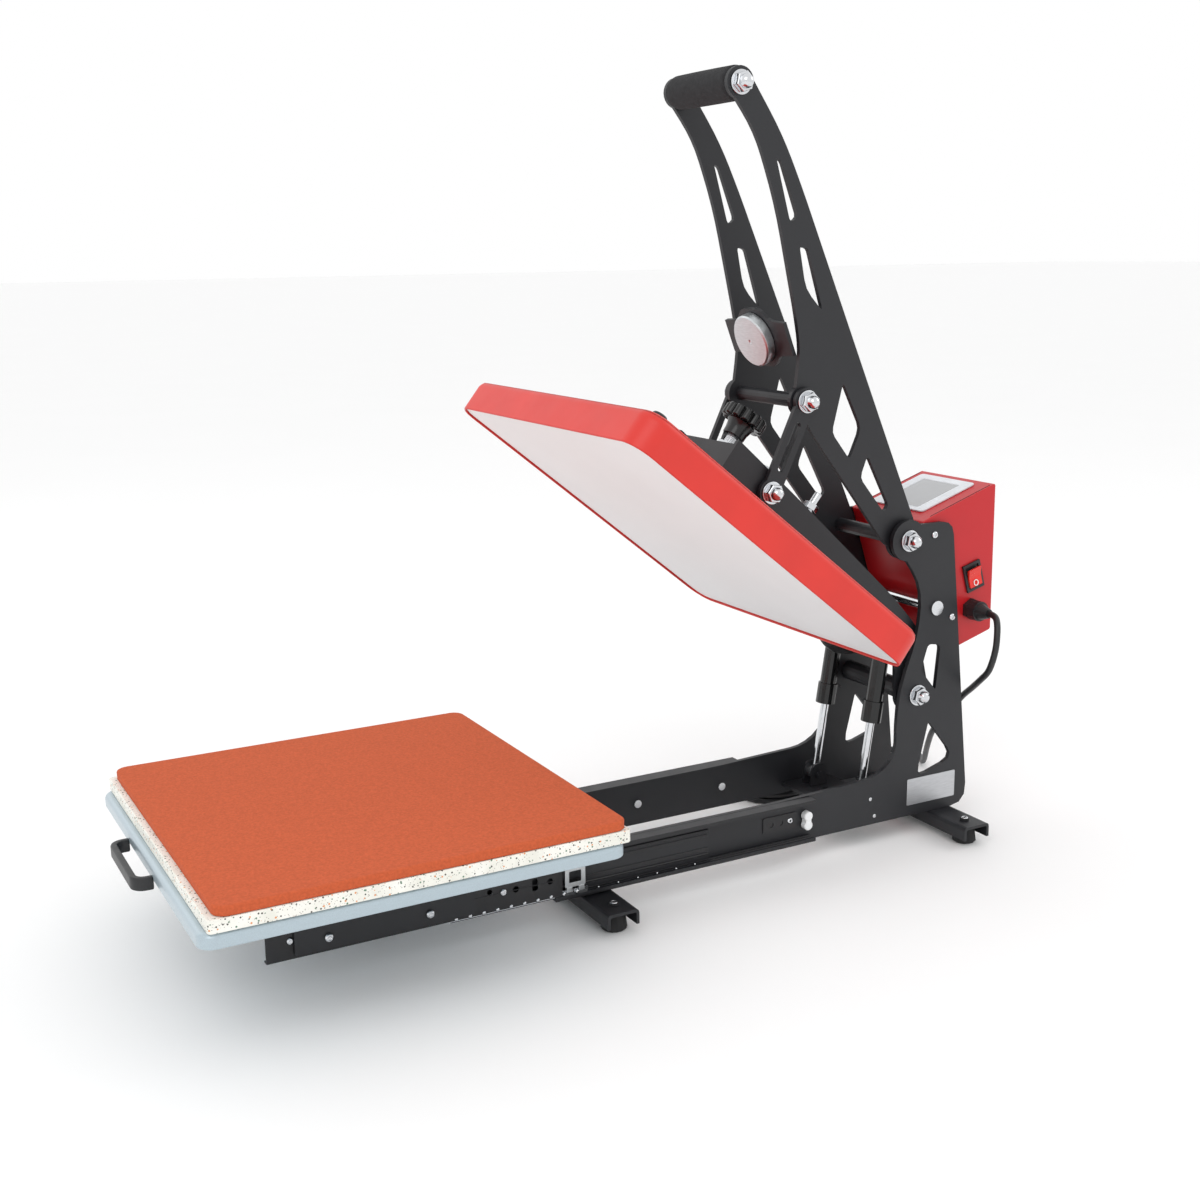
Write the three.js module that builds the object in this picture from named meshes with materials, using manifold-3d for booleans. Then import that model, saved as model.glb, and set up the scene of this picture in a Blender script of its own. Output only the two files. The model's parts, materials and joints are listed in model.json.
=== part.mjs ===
// Clamshell heat press: an upper heated head that swings down on a toggle handle, a lower platen
// that pulls out on drawer slides, gas springs that throw the head open, and a control box.
// Millimetres. +X is the operator's right, +Y is the rear, +Z is up.
// While it is built, Y = 0 is the centre of the pulled-out platen and Z = 0 is the table top.
// The last lines move the origin to the middle of the footprint.
import * as THREE from 'three';
import * as BufferGeometryUtils from 'three/addons/utils/BufferGeometryUtils.js';
import Module from 'manifold-3d';

const wasm = await Module();
wasm.setup();

// ---------------------------------------------------------------- driving dimensions
const gap = 0.3; // left between pieces that touch
const runningGap = 0.5; // left between pieces that move past each other

// lower platen, from the top down
const padTop = 143;
const padWidth = 380;
const padDepth = 368;
const padThickness = 8.7;
const padCornerRadius = 12;
const boardWidth = 382;
const boardDepth = 376;
const boardThickness = 11.7;
const boardRearOverhang = 2; // board past the pad at the rear
const boardCornerRadius = 3;
const trayWidth = 382;
const trayDepth = 380;
const trayHeight = 13.2;
const traySheet = 1.5;
const trayEdgeRadius = 6;
const trayCornerRadius = 14;
const trayFrontOverhang = 7; // tray past the board at the front

// pull handle on the tray
const pullCentreX = -21.5;
const pullWidth = 104;
const pullReach = 18;
const pullBar = 6;
const pullHeight = 12.5;
const pullDrop = 4.5; // top of the pull above the tray's underside
const pullRoot = 14; // the pull's ends behind the tray's front edge
const pullCornerRadius = 13;

// drawer slides
const slideLength = 305;
const slideHeight = 45.7;
const slideDepth = 12.4;
const slideSheet = 1.4;
const slideBottom = 26.2;
const slideRear = 470;
const slideFlange = 4;
const midLength = 285;
const midEngaged = 177; // middle member inside the outer one, drawer out
const innerLength = 289;
const innerEngaged = 7; // inner member's rear end behind the outer member's front end
const drawerBracketLength = 172;
const drawerBracketFront = -92;
const drawerBracketSheet = 3;
const drawerBracketBottom = 36;
const drawerBracketFlange = 32;

// side plates
const plateInner = 62; // inside face from the centre plane
const plateThickness = 5;
const plateBottom = 24;
const plateFront = 165;
const plateSillTop = 72;
const plateRearFoot = 687;
const plateRearTop = 653;
const plateTop = 348;
const earRadius = 22;
const bossRadius = 27;

// pivots, as rearward and upward distances
const handlePivot = new THREE.Vector2(594.1, 332.0);
const headPivot = new THREE.Vector2(611.4, 160.8);
const linkTopPivot = new THREE.Vector2(461.6, 485.4);
const linkBottomPivot = new THREE.Vector2(420.1, 397.7);
const gripCentre = new THREE.Vector2(385.0, 785.2);
const pivotPinRadius = 6;
const pinClearance = 0.2;
const spacerTubeWall = 1.2;
const pivotTubeRadius = 11;
const nutAcrossFlats = 17;
const nutThickness = 7;
const washerRadius = 11.5;
const washerThickness = 1.8;

// head
const headTilt = THREE.MathUtils.degToRad(38.75); // open angle of the head
const pivotToHeaterRear = 139.2;
const closedGap = 4; // left for the garment when the press is shut
const heaterWidth = 366;
const heaterDepth = 380;
const heaterThickness = 14;
const blanketThickness = 12;
const sheetThickness = 1.2;
const coverWidth = 376;
const coverDepth = 388;
const coverHeight = 36.5;
const coverLip = 2; // the cover's lower edge below the release sheet
const coverSheet = 2;
const coverCornerRadius = 22;
const coverEdgeRadius = 7;
const carrierOuter = 57;
const carrierPlate = 5;
const carrierRear = 47; // where the carrier's side arms leave the cover, in front of the pivot
const boxLength = 90;
const boxHeight = 65;
const boxFrontToPivot = 358;
const boxPlate = 4;
const boxLidDrop = 5; // lid below the front edge of the side arms
const deckOverhang = 60; // deck behind the box
const heaterInset = 2; // heater behind the sheet's edge, front and rear
const blanketInset = 4; // blanket inside the heater's edge

// pressure knob, on a screw through the carrier box
const knobToPivot = 331.7;
const knobRadius = 23.5;
const knobTeeth = 12;
const knobWheelThickness = 13;
const knobHubRadius = 12;
const knobHubHeight = 17;
const screwRadius = 6;
const screwReach = 14;
const screwSocket = 10; // the screw's end inside the knob's hub
const screwNut = 5;
const knobToothDepth = 3;
const knobCapRadius = 13;
const knobCapRise = 2;

// handle
const armOuter = 57.5;
const armThickness = 5;
const gripRadius = 16.5;
const gripEyeRadius = 15;
const armBossRadius = 16;
const discCentre = new THREE.Vector2(441, 544);
const discRadius = 27.5;
const discThickness = 10;
const discStudRadius = 4;
const discStudReach = 6;
const crossPlateHeight = 62;
const crossPlateThickness = 4;
const magnetRadius = 16;

// links beside the arms
const linkThickness = 5;
const linkEndRadius = 14;
const linkWaist = 10.5;
const linkSlotWidth = 7;
const linkSlotLength = 52;
const linkStandoff = 1.5; // outside face of an arm to inside face of its link

// gas springs
const springX = 41;
const springFoot = new THREE.Vector2(556.5, 50);
const springHead = new THREE.Vector2(587.5, 243);
const rodRadius = 4.5;
const cylinderRadius = 9.2;
const cylinderBore = 6;
const collarRadius = 11;
const collarLength = 23;
const collarFromFoot = 82;
const rodOverlap = 56; // rod inside the open cylinder
const barrelToEye = 13; // top of the cylinder below the upper eye's centre
const stemRadius = 4;
const springEyeRadius = 9;
const springEyeThickness = 10;
const springPinRadius = 4;
const springPinClearance = 2.8; // the open pivot of the spring's closed linkage
const footPlateFront = 526;
const footPlateDepth = 62;
const footPlateTop = 37;
const footPlateThickness = 4;
const clevisHeight = 26;
const clevisHalfWidth = 11;
const clevisSheet = 3;
const plateWindowX = [-24, 8]; // opening in the foot plate
const plateWindowY = [24, 34]; // from the plate's front edge

// feet
const frontBarCentre = 212.5;
const rearBarCentre = 649;
const barWidth = 34;
const barHalfLength = 127;
const barHeight = 15;
const barSheet = 3;
const footCentreX = 107;
const footRadius = 12;
const footHeight = 20.5;

// control box, a wedge between the side plates
const controlSideGap = 1.3; // between the box and each side plate
const boxHalfWidth = plateInner - controlSideGap;
const controlTopFront = new THREE.Vector2(616, 349);
const controlTopRear = new THREE.Vector2(717, 382);
const controlBottomRear = new THREE.Vector2(718, 219);
const controlBottomFront = new THREE.Vector2(663, 203);
const controlSheet = 1.5;
const ventHalfWidth = 30;
const ventFront = 13; // behind the box's lower front edge
const ventLength = 24;
const boardTopGap = 20; // control board under the sloping top
const controlBoardHalfWidth = 40;
const controlBoardThickness = 4;
const controlBoardFront = 34;
const controlBoardLength = 58;
const panelCentreX = -4;
const panelWidth = 88;
const panelLength = 78;
const panelFront = 17.5; // from the box's front edge, along the slope
const panelThickness = 2;
const tieRod = new THREE.Vector2(633, 255);
const tieRodRadius = 6;
const rockerCentre = new THREE.Vector2(688.5, 282.5);
const rockerWidth = 24;
const rockerHeight = 31;
const rockerSlope = THREE.MathUtils.degToRad(16);
const rockerTip = THREE.MathUtils.degToRad(9); // either way from level
const glandCentre = new THREE.Vector2(687, 246);
const glandRadius = 12;
const glandReach = 30;
const glandNut = 6;
const glandCap = 17;
const neckRadius = 8.5; // the switch's and the gland's necks through the box's side

// mains cord
const cordRadius = 3.5;
const coilMeanRadius = 39;
const coilLayers = 3;
const coilCentre = new THREE.Vector2(-128, 555);
const plugLength = 52;
const plugBodyWidth = 24;
const plugPinLength = 16;
const plugBoot = 14;
const plugPinSpread = 6.4;
const plugPinHalf = new THREE.Vector2(0.8, 3.2); // half thickness, half width
const plugEarthRise = 6.6;
const plugToCoil = 78; // behind the plug, to the coil's centre
const plugHeight = 10;

// wiring conduit between the head and the control box
const conduitRadius = 9.5;

// ---------------------------------------------------------------- materials
const finish = (color, roughness, metalness) =>
  new THREE.MeshStandardMaterial({ color, roughness, metalness });
const blackPaint = finish(0x1d1f22, 0.55, 0.2);
const blackPlastic = finish(0x141416, 0.45, 0);
const rubber = finish(0x1a1a1b, 0.85, 0);
const steel = finish(0xc4c7ca, 0.3, 0.9);
const zinc = finish(0xb4b8bb, 0.4, 0.8);
const redCover = finish(0xe8402f, 0.45, 0);
const redBox = finish(0xb5121a, 0.4, 0.1);
const greyTray = finish(0xa9bac2, 0.4, 0.4);
const whiteBoard = finish(0xf3f2ea, 0.8, 0);
const siliconePad = finish(0xcf6a44, 0.9, 0);
const whiteSheet = finish(0xe4e4e2, 0.6, 0);
const aluminium = finish(0xb9bbbd, 0.5, 0.7);
const panelGrey = finish(0xdfe2e4, 0.4, 0);
const woolBlanket = finish(0xcfc8b4, 0.95, 0);

// ---------------------------------------------------------------- geometry helpers
const press = new THREE.Group();

function addMesh(parent, name, geometry, material) {
  const mesh = new THREE.Mesh(geometry, material);
  mesh.name = name;
  parent.add(mesh);
  return mesh;
}

function toSolid(geometry) {
  const bare = geometry.clone();
  bare.deleteAttribute('normal');
  bare.deleteAttribute('uv');
  const merged = BufferGeometryUtils.mergeVertices(bare, 1e-3);
  return new wasm.Manifold(
    new wasm.Mesh({
      numProp: 3,
      vertProperties: new Float32Array(merged.attributes.position.array),
      triVerts: new Uint32Array(merged.index.array),
    }),
  );
}

function toGeometry(solid) {
  const mesh = solid.getMesh();
  const geometry = new THREE.BufferGeometry();
  geometry.setAttribute('position', new THREE.BufferAttribute(mesh.vertProperties, 3));
  geometry.setIndex(new THREE.BufferAttribute(mesh.triVerts, 1));
  return geometry;
}

function join(...geometries) {
  return toGeometry(geometries.map(toSolid).reduce((whole, piece) => whole.add(piece)));
}

function cut(geometry, ...tools) {
  return toGeometry(tools.map(toSolid).reduce((left, tool) => left.subtract(tool), toSolid(geometry)));
}

function box(x0, x1, y0, y1, z0, z1) {
  const geometry = new THREE.BoxGeometry(x1 - x0, y1 - y0, z1 - z0);
  return geometry.translate((x0 + x1) / 2, (y0 + y1) / 2, (z0 + z1) / 2);
}

// a round bar along X, from x0 to x1, centred on (y, z)
function barX(radius, x0, x1, y, z, sides = 16) {
  const geometry = new THREE.CylinderGeometry(radius, radius, x1 - x0, sides);
  return geometry.rotateZ(Math.PI / 2).translate((x0 + x1) / 2, y, z);
}

// a round bar along Z, from z0 to z1
function barZ(radius, z0, z1, x, y, sides = 16) {
  const geometry = new THREE.CylinderGeometry(radius, radius, z1 - z0, sides);
  return geometry.rotateX(Math.PI / 2).translate(x, y, (z0 + z1) / 2);
}

// a closed polygon of [y, z, cornerRadius] with each corner rounded
function roundedOutline(corners, path = new THREE.Shape()) {
  const count = corners.length;
  corners.forEach(([y, z, radius = 0], i) => {
    const corner = new THREE.Vector2(y, z);
    const before = new THREE.Vector2(...corners[(i + count - 1) % count]).sub(corner);
    const after = new THREE.Vector2(...corners[(i + 1) % count]).sub(corner);
    const reach = Math.min(radius, before.length() * 0.48, after.length() * 0.48);
    const start = corner.clone().add(before.setLength(reach));
    const end = corner.clone().add(after.setLength(reach));
    if (i === 0) {
      path.moveTo(start.x, start.y);
    } else {
      path.lineTo(start.x, start.y);
    }
    if (reach > 0) {
      path.quadraticCurveTo(corner.x, corner.y, end.x, end.y);
    }
  });
  path.closePath();
  return path;
}

// a flat plate whose outline lies in the YZ plane, from x0 to x1
function plateX(shape, x0, x1, curveSegments = 3) {
  const geometry = new THREE.ExtrudeGeometry(shape, {
    depth: x1 - x0,
    bevelEnabled: false,
    curveSegments,
  });
  const turn = new THREE.Matrix4().makeBasis(
    new THREE.Vector3(0, 1, 0),
    new THREE.Vector3(0, 0, 1),
    new THREE.Vector3(1, 0, 0),
  );
  return geometry.applyMatrix4(turn).translate(x0, 0, 0);
}

// a flat slab whose outline lies in the XY plane, from z0 to z1
function slabZ(shape, z0, z1, curveSegments = 4) {
  const geometry = new THREE.ExtrudeGeometry(shape, {
    depth: z1 - z0,
    bevelEnabled: false,
    curveSegments,
  });
  return geometry.translate(0, 0, z0);
}

// the same, with its upper edge rounded over
function softSlabZ(shape, z0, z1, edgeRadius) {
  const geometry = new THREE.ExtrudeGeometry(shape, {
    depth: z1 - z0,
    bevelThickness: edgeRadius,
    bevelSize: edgeRadius,
    bevelOffset: -edgeRadius,
    bevelSegments: 3,
    curveSegments: 4,
  });
  const reach = 1000;
  const below = box(-reach, reach, -reach, reach, z0 - 2 * edgeRadius - 1, z0);
  return cut(geometry.translate(0, 0, z0 - edgeRadius), below);
}

function roundedRectangle(x0, x1, y0, y1, radius) {
  return roundedOutline([
    [x0, y0, radius],
    [x1, y0, radius],
    [x1, y1, radius],
    [x0, y1, radius],
  ]);
}

// a stepped solid of revolution about +X, from [radius, x] pairs that start and end on the axis
function turnedX(profile, y, z, sides = 16) {
  const points = profile.map(([radius, x]) => new THREE.Vector2(radius, x));
  return new THREE.LatheGeometry(points, sides).rotateZ(-Math.PI / 2).translate(0, y, z);
}

// a washer and a domed nut that face +X, from the plane x = face
function domedNut(face, y, z) {
  const seat = face + washerThickness;
  const top = seat + nutThickness;
  const dome = nutAcrossFlats * 0.38;
  const rise = [90, 60, 30, 0].map((degrees) => {
    const angle = THREE.MathUtils.degToRad(degrees);
    return [dome * Math.cos(angle), top + dome * Math.sin(angle) * 0.9];
  });
  const profile = [[0, top - 1], [dome, top - 1], ...rise.reverse()];
  profile[profile.length - 1][0] = 0;
  return join(
    barX(washerRadius, face, seat, y, z),
    barX(nutAcrossFlats / Math.sqrt(3), seat - gap, top, y, z, 6),
    turnedX(profile, y, z, 12),
  );
}

// an axle with a washer and a domed nut at each end, for a stack whose outside face is at faceX
function nuttedAxle(radius, faceX, y, z) {
  const nut = domedNut(faceX + gap, y, z);
  const reach = faceX + gap + washerThickness;
  return join(barX(radius, -reach, reach, y, z), nut, mirrored(nut));
}

function mirrored(geometry) {
  const copy = geometry.clone().scale(-1, 1, 1);
  const index = copy.index ? Array.from(copy.index.array) : null;
  const order = index ?? Array.from({ length: copy.attributes.position.count }, (_, i) => i);
  for (let i = 0; i < order.length; i += 3) {
    [order[i + 1], order[i + 2]] = [order[i + 2], order[i + 1]];
  }
  copy.setIndex(order);
  return copy;
}

// the piece on the right, and its mirror image on the left
function addPair(parent, name, geometry, material) {
  addMesh(parent, `${name}_right`, geometry, material);
  addMesh(parent, `${name}_left`, mirrored(geometry), material);
}

// ---------------------------------------------------------------- side plates and base
const plateOuter = plateInner + plateThickness;
const armInner = armOuter - armThickness;
const linkInner = armOuter + linkStandoff;
const linkOuter = linkInner + linkThickness;

function sidePlateShape() {
  const { x: ay, y: az } = handlePivot;
  const { x: dy, y: dz } = headPivot;
  const shape = roundedOutline([
    [plateFront, plateBottom, 2],
    [plateRearFoot, plateBottom, 24],
    [plateRearTop, plateTop, 15],
    [ay + 12, plateTop, 4],
    [ay, az, 4],
    [ay - 8, az - 14, 8],
    [dy + 2, dz + 120, 42],
    [dy, dz + 72, 34],
    [dy - bossRadius, dz, 30],
    [dy - bossRadius, plateSillTop + 22, 22],
    [dy - bossRadius - 28, plateSillTop + 4, 28],
    [slideRear - 30, plateSillTop, 20],
    [plateFront, plateSillTop, 2],
  ]);
  const upperWindow = [
    [dy + 13, dz + 55, 5],
    [dy + 30, dz + 52, 5],
    [dy + 25, dz + 2, 3],
    [dy + 4, dz + 27, 5],
  ];
  const lowerWindow = [
    [dy + 17, dz - 32, 4],
    [dy + 55, dz - 79, 17],
    [dy + 1, dz - 95, 16],
  ];
  shape.holes.push(roundedOutline(upperWindow.reverse(), new THREE.Path()));
  shape.holes.push(roundedOutline(lowerWindow.reverse(), new THREE.Path()));
  return shape;
}

function sidePlate() {
  const { x: ay, y: az } = handlePivot;
  const ear = new THREE.Shape().absarc(ay, az, earRadius, 0, Math.PI * 2, false);
  const whole = join(
    plateX(sidePlateShape(), plateInner, plateOuter),
    plateX(ear, plateInner, plateOuter, 18),
  );
  return cut(
    whole,
    barX(pivotPinRadius + gap, plateInner - 1, plateOuter + 1, ay, az),
    barX(pivotPinRadius + gap, plateInner - 1, plateOuter + 1, headPivot.x, headPivot.y),
    barX(tieRodRadius + gap, plateInner - 1, plateOuter + 1, tieRod.x, tieRod.y, 16),
  );
}

// an inverted channel under both side plates, with rolled side walls
function footBar(centreY) {
  const top = plateBottom - gap;
  const outline = roundedOutline([
    [centreY - barWidth / 2, top - barHeight, 0],
    [centreY - barWidth / 2, top, 4],
    [centreY + barWidth / 2, top, 4],
    [centreY + barWidth / 2, top - barHeight, 0],
    [centreY + barWidth / 2 - barSheet, top - barHeight, 0],
    [centreY + barWidth / 2 - barSheet, top - barSheet, 2],
    [centreY - barWidth / 2 + barSheet, top - barSheet, 2],
    [centreY - barWidth / 2 + barSheet, top - barHeight, 0],
  ]);
  const holes = [-1, 1].map((side) =>
    barZ(screwRadius / 2 + gap, top - barSheet - 1, top + 1, side * footCentreX, centreY, 12),
  );
  return cut(plateX(outline, -barHalfLength, barHalfLength, 3), ...holes);
}

// a tapered rubber foot with the screw that holds it under the bar
function rubberFoot(side, centreY) {
  const barTop = plateBottom - gap;
  const profile = [
    [0, 0],
    [footRadius - 1, 0],
    [footRadius + 1, 2],
    [footRadius - 1, footHeight - barSheet],
    [screwRadius / 2, footHeight - barSheet],
    [screwRadius / 2, barTop + gap],
    [screwRadius * 0.8, barTop + gap],
    [screwRadius * 0.8, barTop + 2.6],
    [0, barTop + 3.4],
  ].map(([radius, z]) => new THREE.Vector2(radius, z));
  const foot = new THREE.LatheGeometry(profile, 14).rotateX(Math.PI / 2);
  return foot.translate(side * footCentreX, centreY, 0);
}

// the plate across the frame that the gas springs stand on, with a clevis for each
function footPlate() {
  const edge = plateInner - gap;
  const bottom = footPlateTop - footPlateThickness;
  const deck = box(-edge, edge, footPlateFront, footPlateFront + footPlateDepth, bottom, footPlateTop);
  const ears = [-1, 1].flatMap((side) =>
    [-1, 1].map((cheek) => {
      const inner = springEyeThickness / 2 + runningGap;
      const outer = inner + clevisSheet;
      const [x0, x1] = cheek > 0 ? [inner, outer] : [-outer, -inner];
      const shape = roundedOutline([
        [springFoot.x - clevisHalfWidth, footPlateTop - 1, 0],
        [springFoot.x + clevisHalfWidth, footPlateTop - 1, 0],
        [springFoot.x + clevisHalfWidth - 2, footPlateTop + clevisHeight, 8],
        [springFoot.x - clevisHalfWidth + 2, footPlateTop + clevisHeight, 8],
      ]);
      return plateX(shape, side * springX + x0, side * springX + x1, 3);
    }),
  );
  const pins = [-1, 1].map((side) => {
    const reach = springEyeThickness / 2 + runningGap + 2 * clevisSheet;
    const { x: y, y: z } = springFoot;
    return barX(springPinRadius, side * springX - reach, side * springX + reach, y, z, 16);
  });
  const [windowLeft, windowRight] = plateWindowX;
  const [windowFront, windowRear] = plateWindowY.map((y) => footPlateFront + y);
  const window = box(windowLeft, windowRight, windowFront, windowRear, bottom - 1, footPlateTop + 1);
  return cut(join(deck, ...ears, ...pins), window);
}

const base = new THREE.Group();
press.add(base);
addPair(base, 'side_plate', sidePlate(), blackPaint);
addMesh(base, 'front_foot_bar', footBar(frontBarCentre), blackPaint);
addMesh(base, 'rear_foot_bar', footBar(rearBarCentre), blackPaint);
for (const [place, centreY] of [['front', frontBarCentre], ['rear', rearBarCentre]]) {
  addMesh(base, `${place}_foot_right`, rubberFoot(1, centreY), rubber);
  addMesh(base, `${place}_foot_left`, rubberFoot(-1, centreY), rubber);
}
addMesh(base, 'spring_foot_plate', footPlate(), blackPaint);
addMesh(
  base,
  'handle_axle',
  nuttedAxle(pivotPinRadius, plateOuter, handlePivot.x, handlePivot.y),
  steel,
);
addMesh(
  base,
  'head_axle',
  nuttedAxle(pivotPinRadius, plateOuter, headPivot.x, headPivot.y),
  steel,
);
addMesh(
  base,
  'tie_rod',
  join(
    barX(tieRodRadius, -plateOuter - gap, plateOuter + gap, tieRod.x, tieRod.y, 16),
    barX(tieRodRadius + 2, -plateOuter - 3, -plateOuter - gap, tieRod.x, tieRod.y, 16),
    barX(tieRodRadius + 2, plateOuter + gap, plateOuter + 3, tieRod.x, tieRod.y, 16),
  ),
  steel,
);

// ---------------------------------------------------------------- drawer slides
// One member of a slide: a channel lying on its side, whose web is at x0 and whose lips reach x1.
function slideMember(x0, x1, y0, y1, z0, z1, lip) {
  const sheet = slideSheet;
  const shape = new THREE.Shape();
  const corners = [
    [x0, z0],
    [x1, z0],
    [x1, z0 + lip],
    [x1 - sheet, z0 + lip],
    [x1 - sheet, z0 + sheet],
    [x0 + sheet, z0 + sheet],
    [x0 + sheet, z1 - sheet],
    [x1 - sheet, z1 - sheet],
    [x1 - sheet, z1 - lip],
    [x1, z1 - lip],
    [x1, z1],
    [x0, z1],
  ];
  corners.forEach(([x, z], i) => (i === 0 ? shape.moveTo(x, z) : shape.lineTo(x, z)));
  shape.closePath();
  const geometry = new THREE.ExtrudeGeometry(shape, { depth: y1 - y0, bevelEnabled: false });
  return geometry.rotateX(Math.PI / 2).translate(0, y1, 0);
}

const slideInner = plateOuter + gap;
const slideOuter = slideInner + slideDepth;
const slideTop = slideBottom + slideHeight;
const slideFront = slideRear - slideLength;
const midRear = slideFront + midEngaged;
const innerFront = slideFront + innerEngaged - innerLength;
const ballGap = 1.2; // between one member and the next, where the balls run
const midInner = slideInner + slideSheet + ballGap;
const midOuter = slideOuter - slideSheet - ballGap;
const midInset = slideSheet + ballGap;
const innerInset = midInset + slideSheet + ballGap;
const bracketInner = slideOuter + gap;
const bracketOuter = bracketInner + drawerBracketSheet;
const innerRailFace = slideOuter; // the inner rail's flat web faces the drawer bracket
const innerRailBack = midInner + slideSheet + ballGap;
addPair(
  base,
  'outer_rail',
  slideMember(slideInner, slideOuter, slideFront, slideRear, slideBottom, slideTop, slideFlange),
  blackPaint,
);

const midSlide = new THREE.Group();
press.add(midSlide);
addPair(
  midSlide,
  'mid_rail',
  slideMember(
    midInner,
    midOuter,
    midRear - midLength,
    midRear,
    slideBottom + midInset,
    slideTop - midInset,
    slideSheet + ballGap - gap,
  ),
  blackPaint,
);

// ---------------------------------------------------------------- lower platen
const padBottom = padTop - padThickness;
const boardTop = padBottom - gap;
const boardBottom = boardTop - boardThickness;
const trayTop = boardBottom - gap;
const trayBottom = trayTop - trayHeight;
const boardRear = padDepth / 2 + boardRearOverhang;
const boardFront = boardRear - boardDepth;
const trayFront = boardFront - trayFrontOverhang;
const trayRear = trayFront + trayDepth;

const drawer = new THREE.Group();
press.add(drawer);

addMesh(
  drawer,
  'silicone_pad',
  slabZ(
    roundedRectangle(-padWidth / 2, padWidth / 2, -padDepth / 2, padDepth / 2, padCornerRadius),
    padBottom,
    padTop,
  ),
  siliconePad,
);
addMesh(
  drawer,
  'platen_board',
  slabZ(
    roundedRectangle(-boardWidth / 2, boardWidth / 2, boardFront, boardRear, boardCornerRadius),
    boardBottom,
    boardTop,
    2,
  ),
  whiteBoard,
);

// a pressed tray, open underneath, with its upper edge rolled over
function platenTray() {
  const half = trayWidth / 2;
  const inset = traySheet + trayEdgeRadius / 2;
  const outer = roundedRectangle(-half, half, trayFront, trayRear, trayCornerRadius);
  const inner = roundedRectangle(
    -half + inset,
    half - inset,
    trayFront + inset,
    trayRear - inset,
    trayCornerRadius - inset,
  );
  return cut(
    softSlabZ(outer, trayBottom, trayTop, trayEdgeRadius),
    slabZ(inner, trayBottom - 1, trayTop - traySheet),
  );
}
addMesh(drawer, 'platen_tray', platenTray(), greyTray);

// a flat bar bent to a U, with its two ends turned under the tray
function drawerPull() {
  const x0 = pullCentreX - pullWidth / 2;
  const x1 = pullCentreX + pullWidth / 2;
  const reach = trayFront - pullReach;
  const root = trayFront + pullRoot;
  const top = trayBottom + pullDrop;
  const shape = roundedOutline([
    [x0, root, 0],
    [x0, reach, pullCornerRadius],
    [x1, reach, pullCornerRadius],
    [x1, root, 0],
    [x1 - pullBar, root, 0],
    [x1 - pullBar, reach + pullBar, pullCornerRadius - pullBar],
    [x0 + pullBar, reach + pullBar, pullCornerRadius - pullBar],
    [x0 + pullBar, root, 0],
  ]);
  const clearTray = box(
    x0 - 1,
    x1 + 1,
    trayFront - gap,
    root + 1,
    trayBottom - gap,
    top + 1,
  );
  return cut(slabZ(shape, top - pullHeight, top), clearTray);
}
addMesh(drawer, 'drawer_pull', drawerPull(), blackPlastic);

// the rail that carries the drawer, and the angle bracket between it and the tray
function innerRail() {
  const z0 = slideBottom + innerInset;
  const z1 = slideTop - innerInset;
  const y1 = innerFront + innerLength;
  const channel = join(
    box(innerRailFace - slideSheet, innerRailFace, innerFront, y1, z0, z1),
    box(innerRailBack, innerRailFace, innerFront, y1, z0, z0 + slideSheet),
    box(innerRailBack, innerRailFace, innerFront, y1, z1 - slideSheet, z1),
  );
  return channel;
}

function drawerBracket() {
  const y0 = drawerBracketFront;
  const y1 = drawerBracketFront + drawerBracketLength;
  const top = trayBottom - gap;
  return join(
    box(bracketInner, bracketOuter, y0, y1, drawerBracketBottom, top),
    box(bracketInner, bracketInner + drawerBracketFlange, y0, y1, top - drawerBracketSheet, top),
  );
}
addPair(drawer, 'inner_rail', innerRail(), blackPaint);
addPair(drawer, 'drawer_bracket', drawerBracket(), blackPaint);

// ---------------------------------------------------------------- head
// Built with the head shut and level, about its pivot, then tilted open.
const head = new THREE.Group();
head.position.set(0, headPivot.x, headPivot.y);
head.rotation.x = -headTilt;
press.add(head);

const heaterRear = -pivotToHeaterRear;
const heaterFront = heaterRear - heaterDepth;
const sheetBottom = padTop + closedGap - headPivot.y;
const heaterBottom = sheetBottom + sheetThickness + gap;
const heaterTop = heaterBottom + heaterThickness;
const blanketBottom = heaterTop + gap;
const blanketTop = blanketBottom + blanketThickness;
const coverBottom = sheetBottom - coverLip;
const coverTop = coverBottom + coverHeight;
const heaterCentreY = (heaterRear + heaterFront) / 2;

// the heater's corners keep the cover's corner curve at their own inset
const heaterCornerRadius = coverCornerRadius - (coverWidth - heaterWidth) / 2;

function headSlab(width, depth, z0, z1, radius) {
  const shape = roundedRectangle(
    -width / 2,
    width / 2,
    heaterCentreY - depth / 2,
    heaterCentreY + depth / 2,
    radius,
  );
  return slabZ(shape, z0, z1);
}

addMesh(
  head,
  'release_sheet',
  headSlab(heaterWidth, heaterDepth, sheetBottom, sheetBottom + sheetThickness, heaterCornerRadius),
  whiteSheet,
);
addMesh(
  head,
  'heater_plate',
  headSlab(heaterWidth, heaterDepth - 2 * heaterInset, heaterBottom, heaterTop, heaterCornerRadius),
  aluminium,
);
addMesh(
  head,
  'insulation_blanket',
  headSlab(
    heaterWidth - 2 * blanketInset,
    heaterDepth - 2 * (heaterInset + blanketInset),
    blanketBottom,
    blanketTop,
    heaterCornerRadius - blanketInset,
  ),
  woolBlanket,
);

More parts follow.
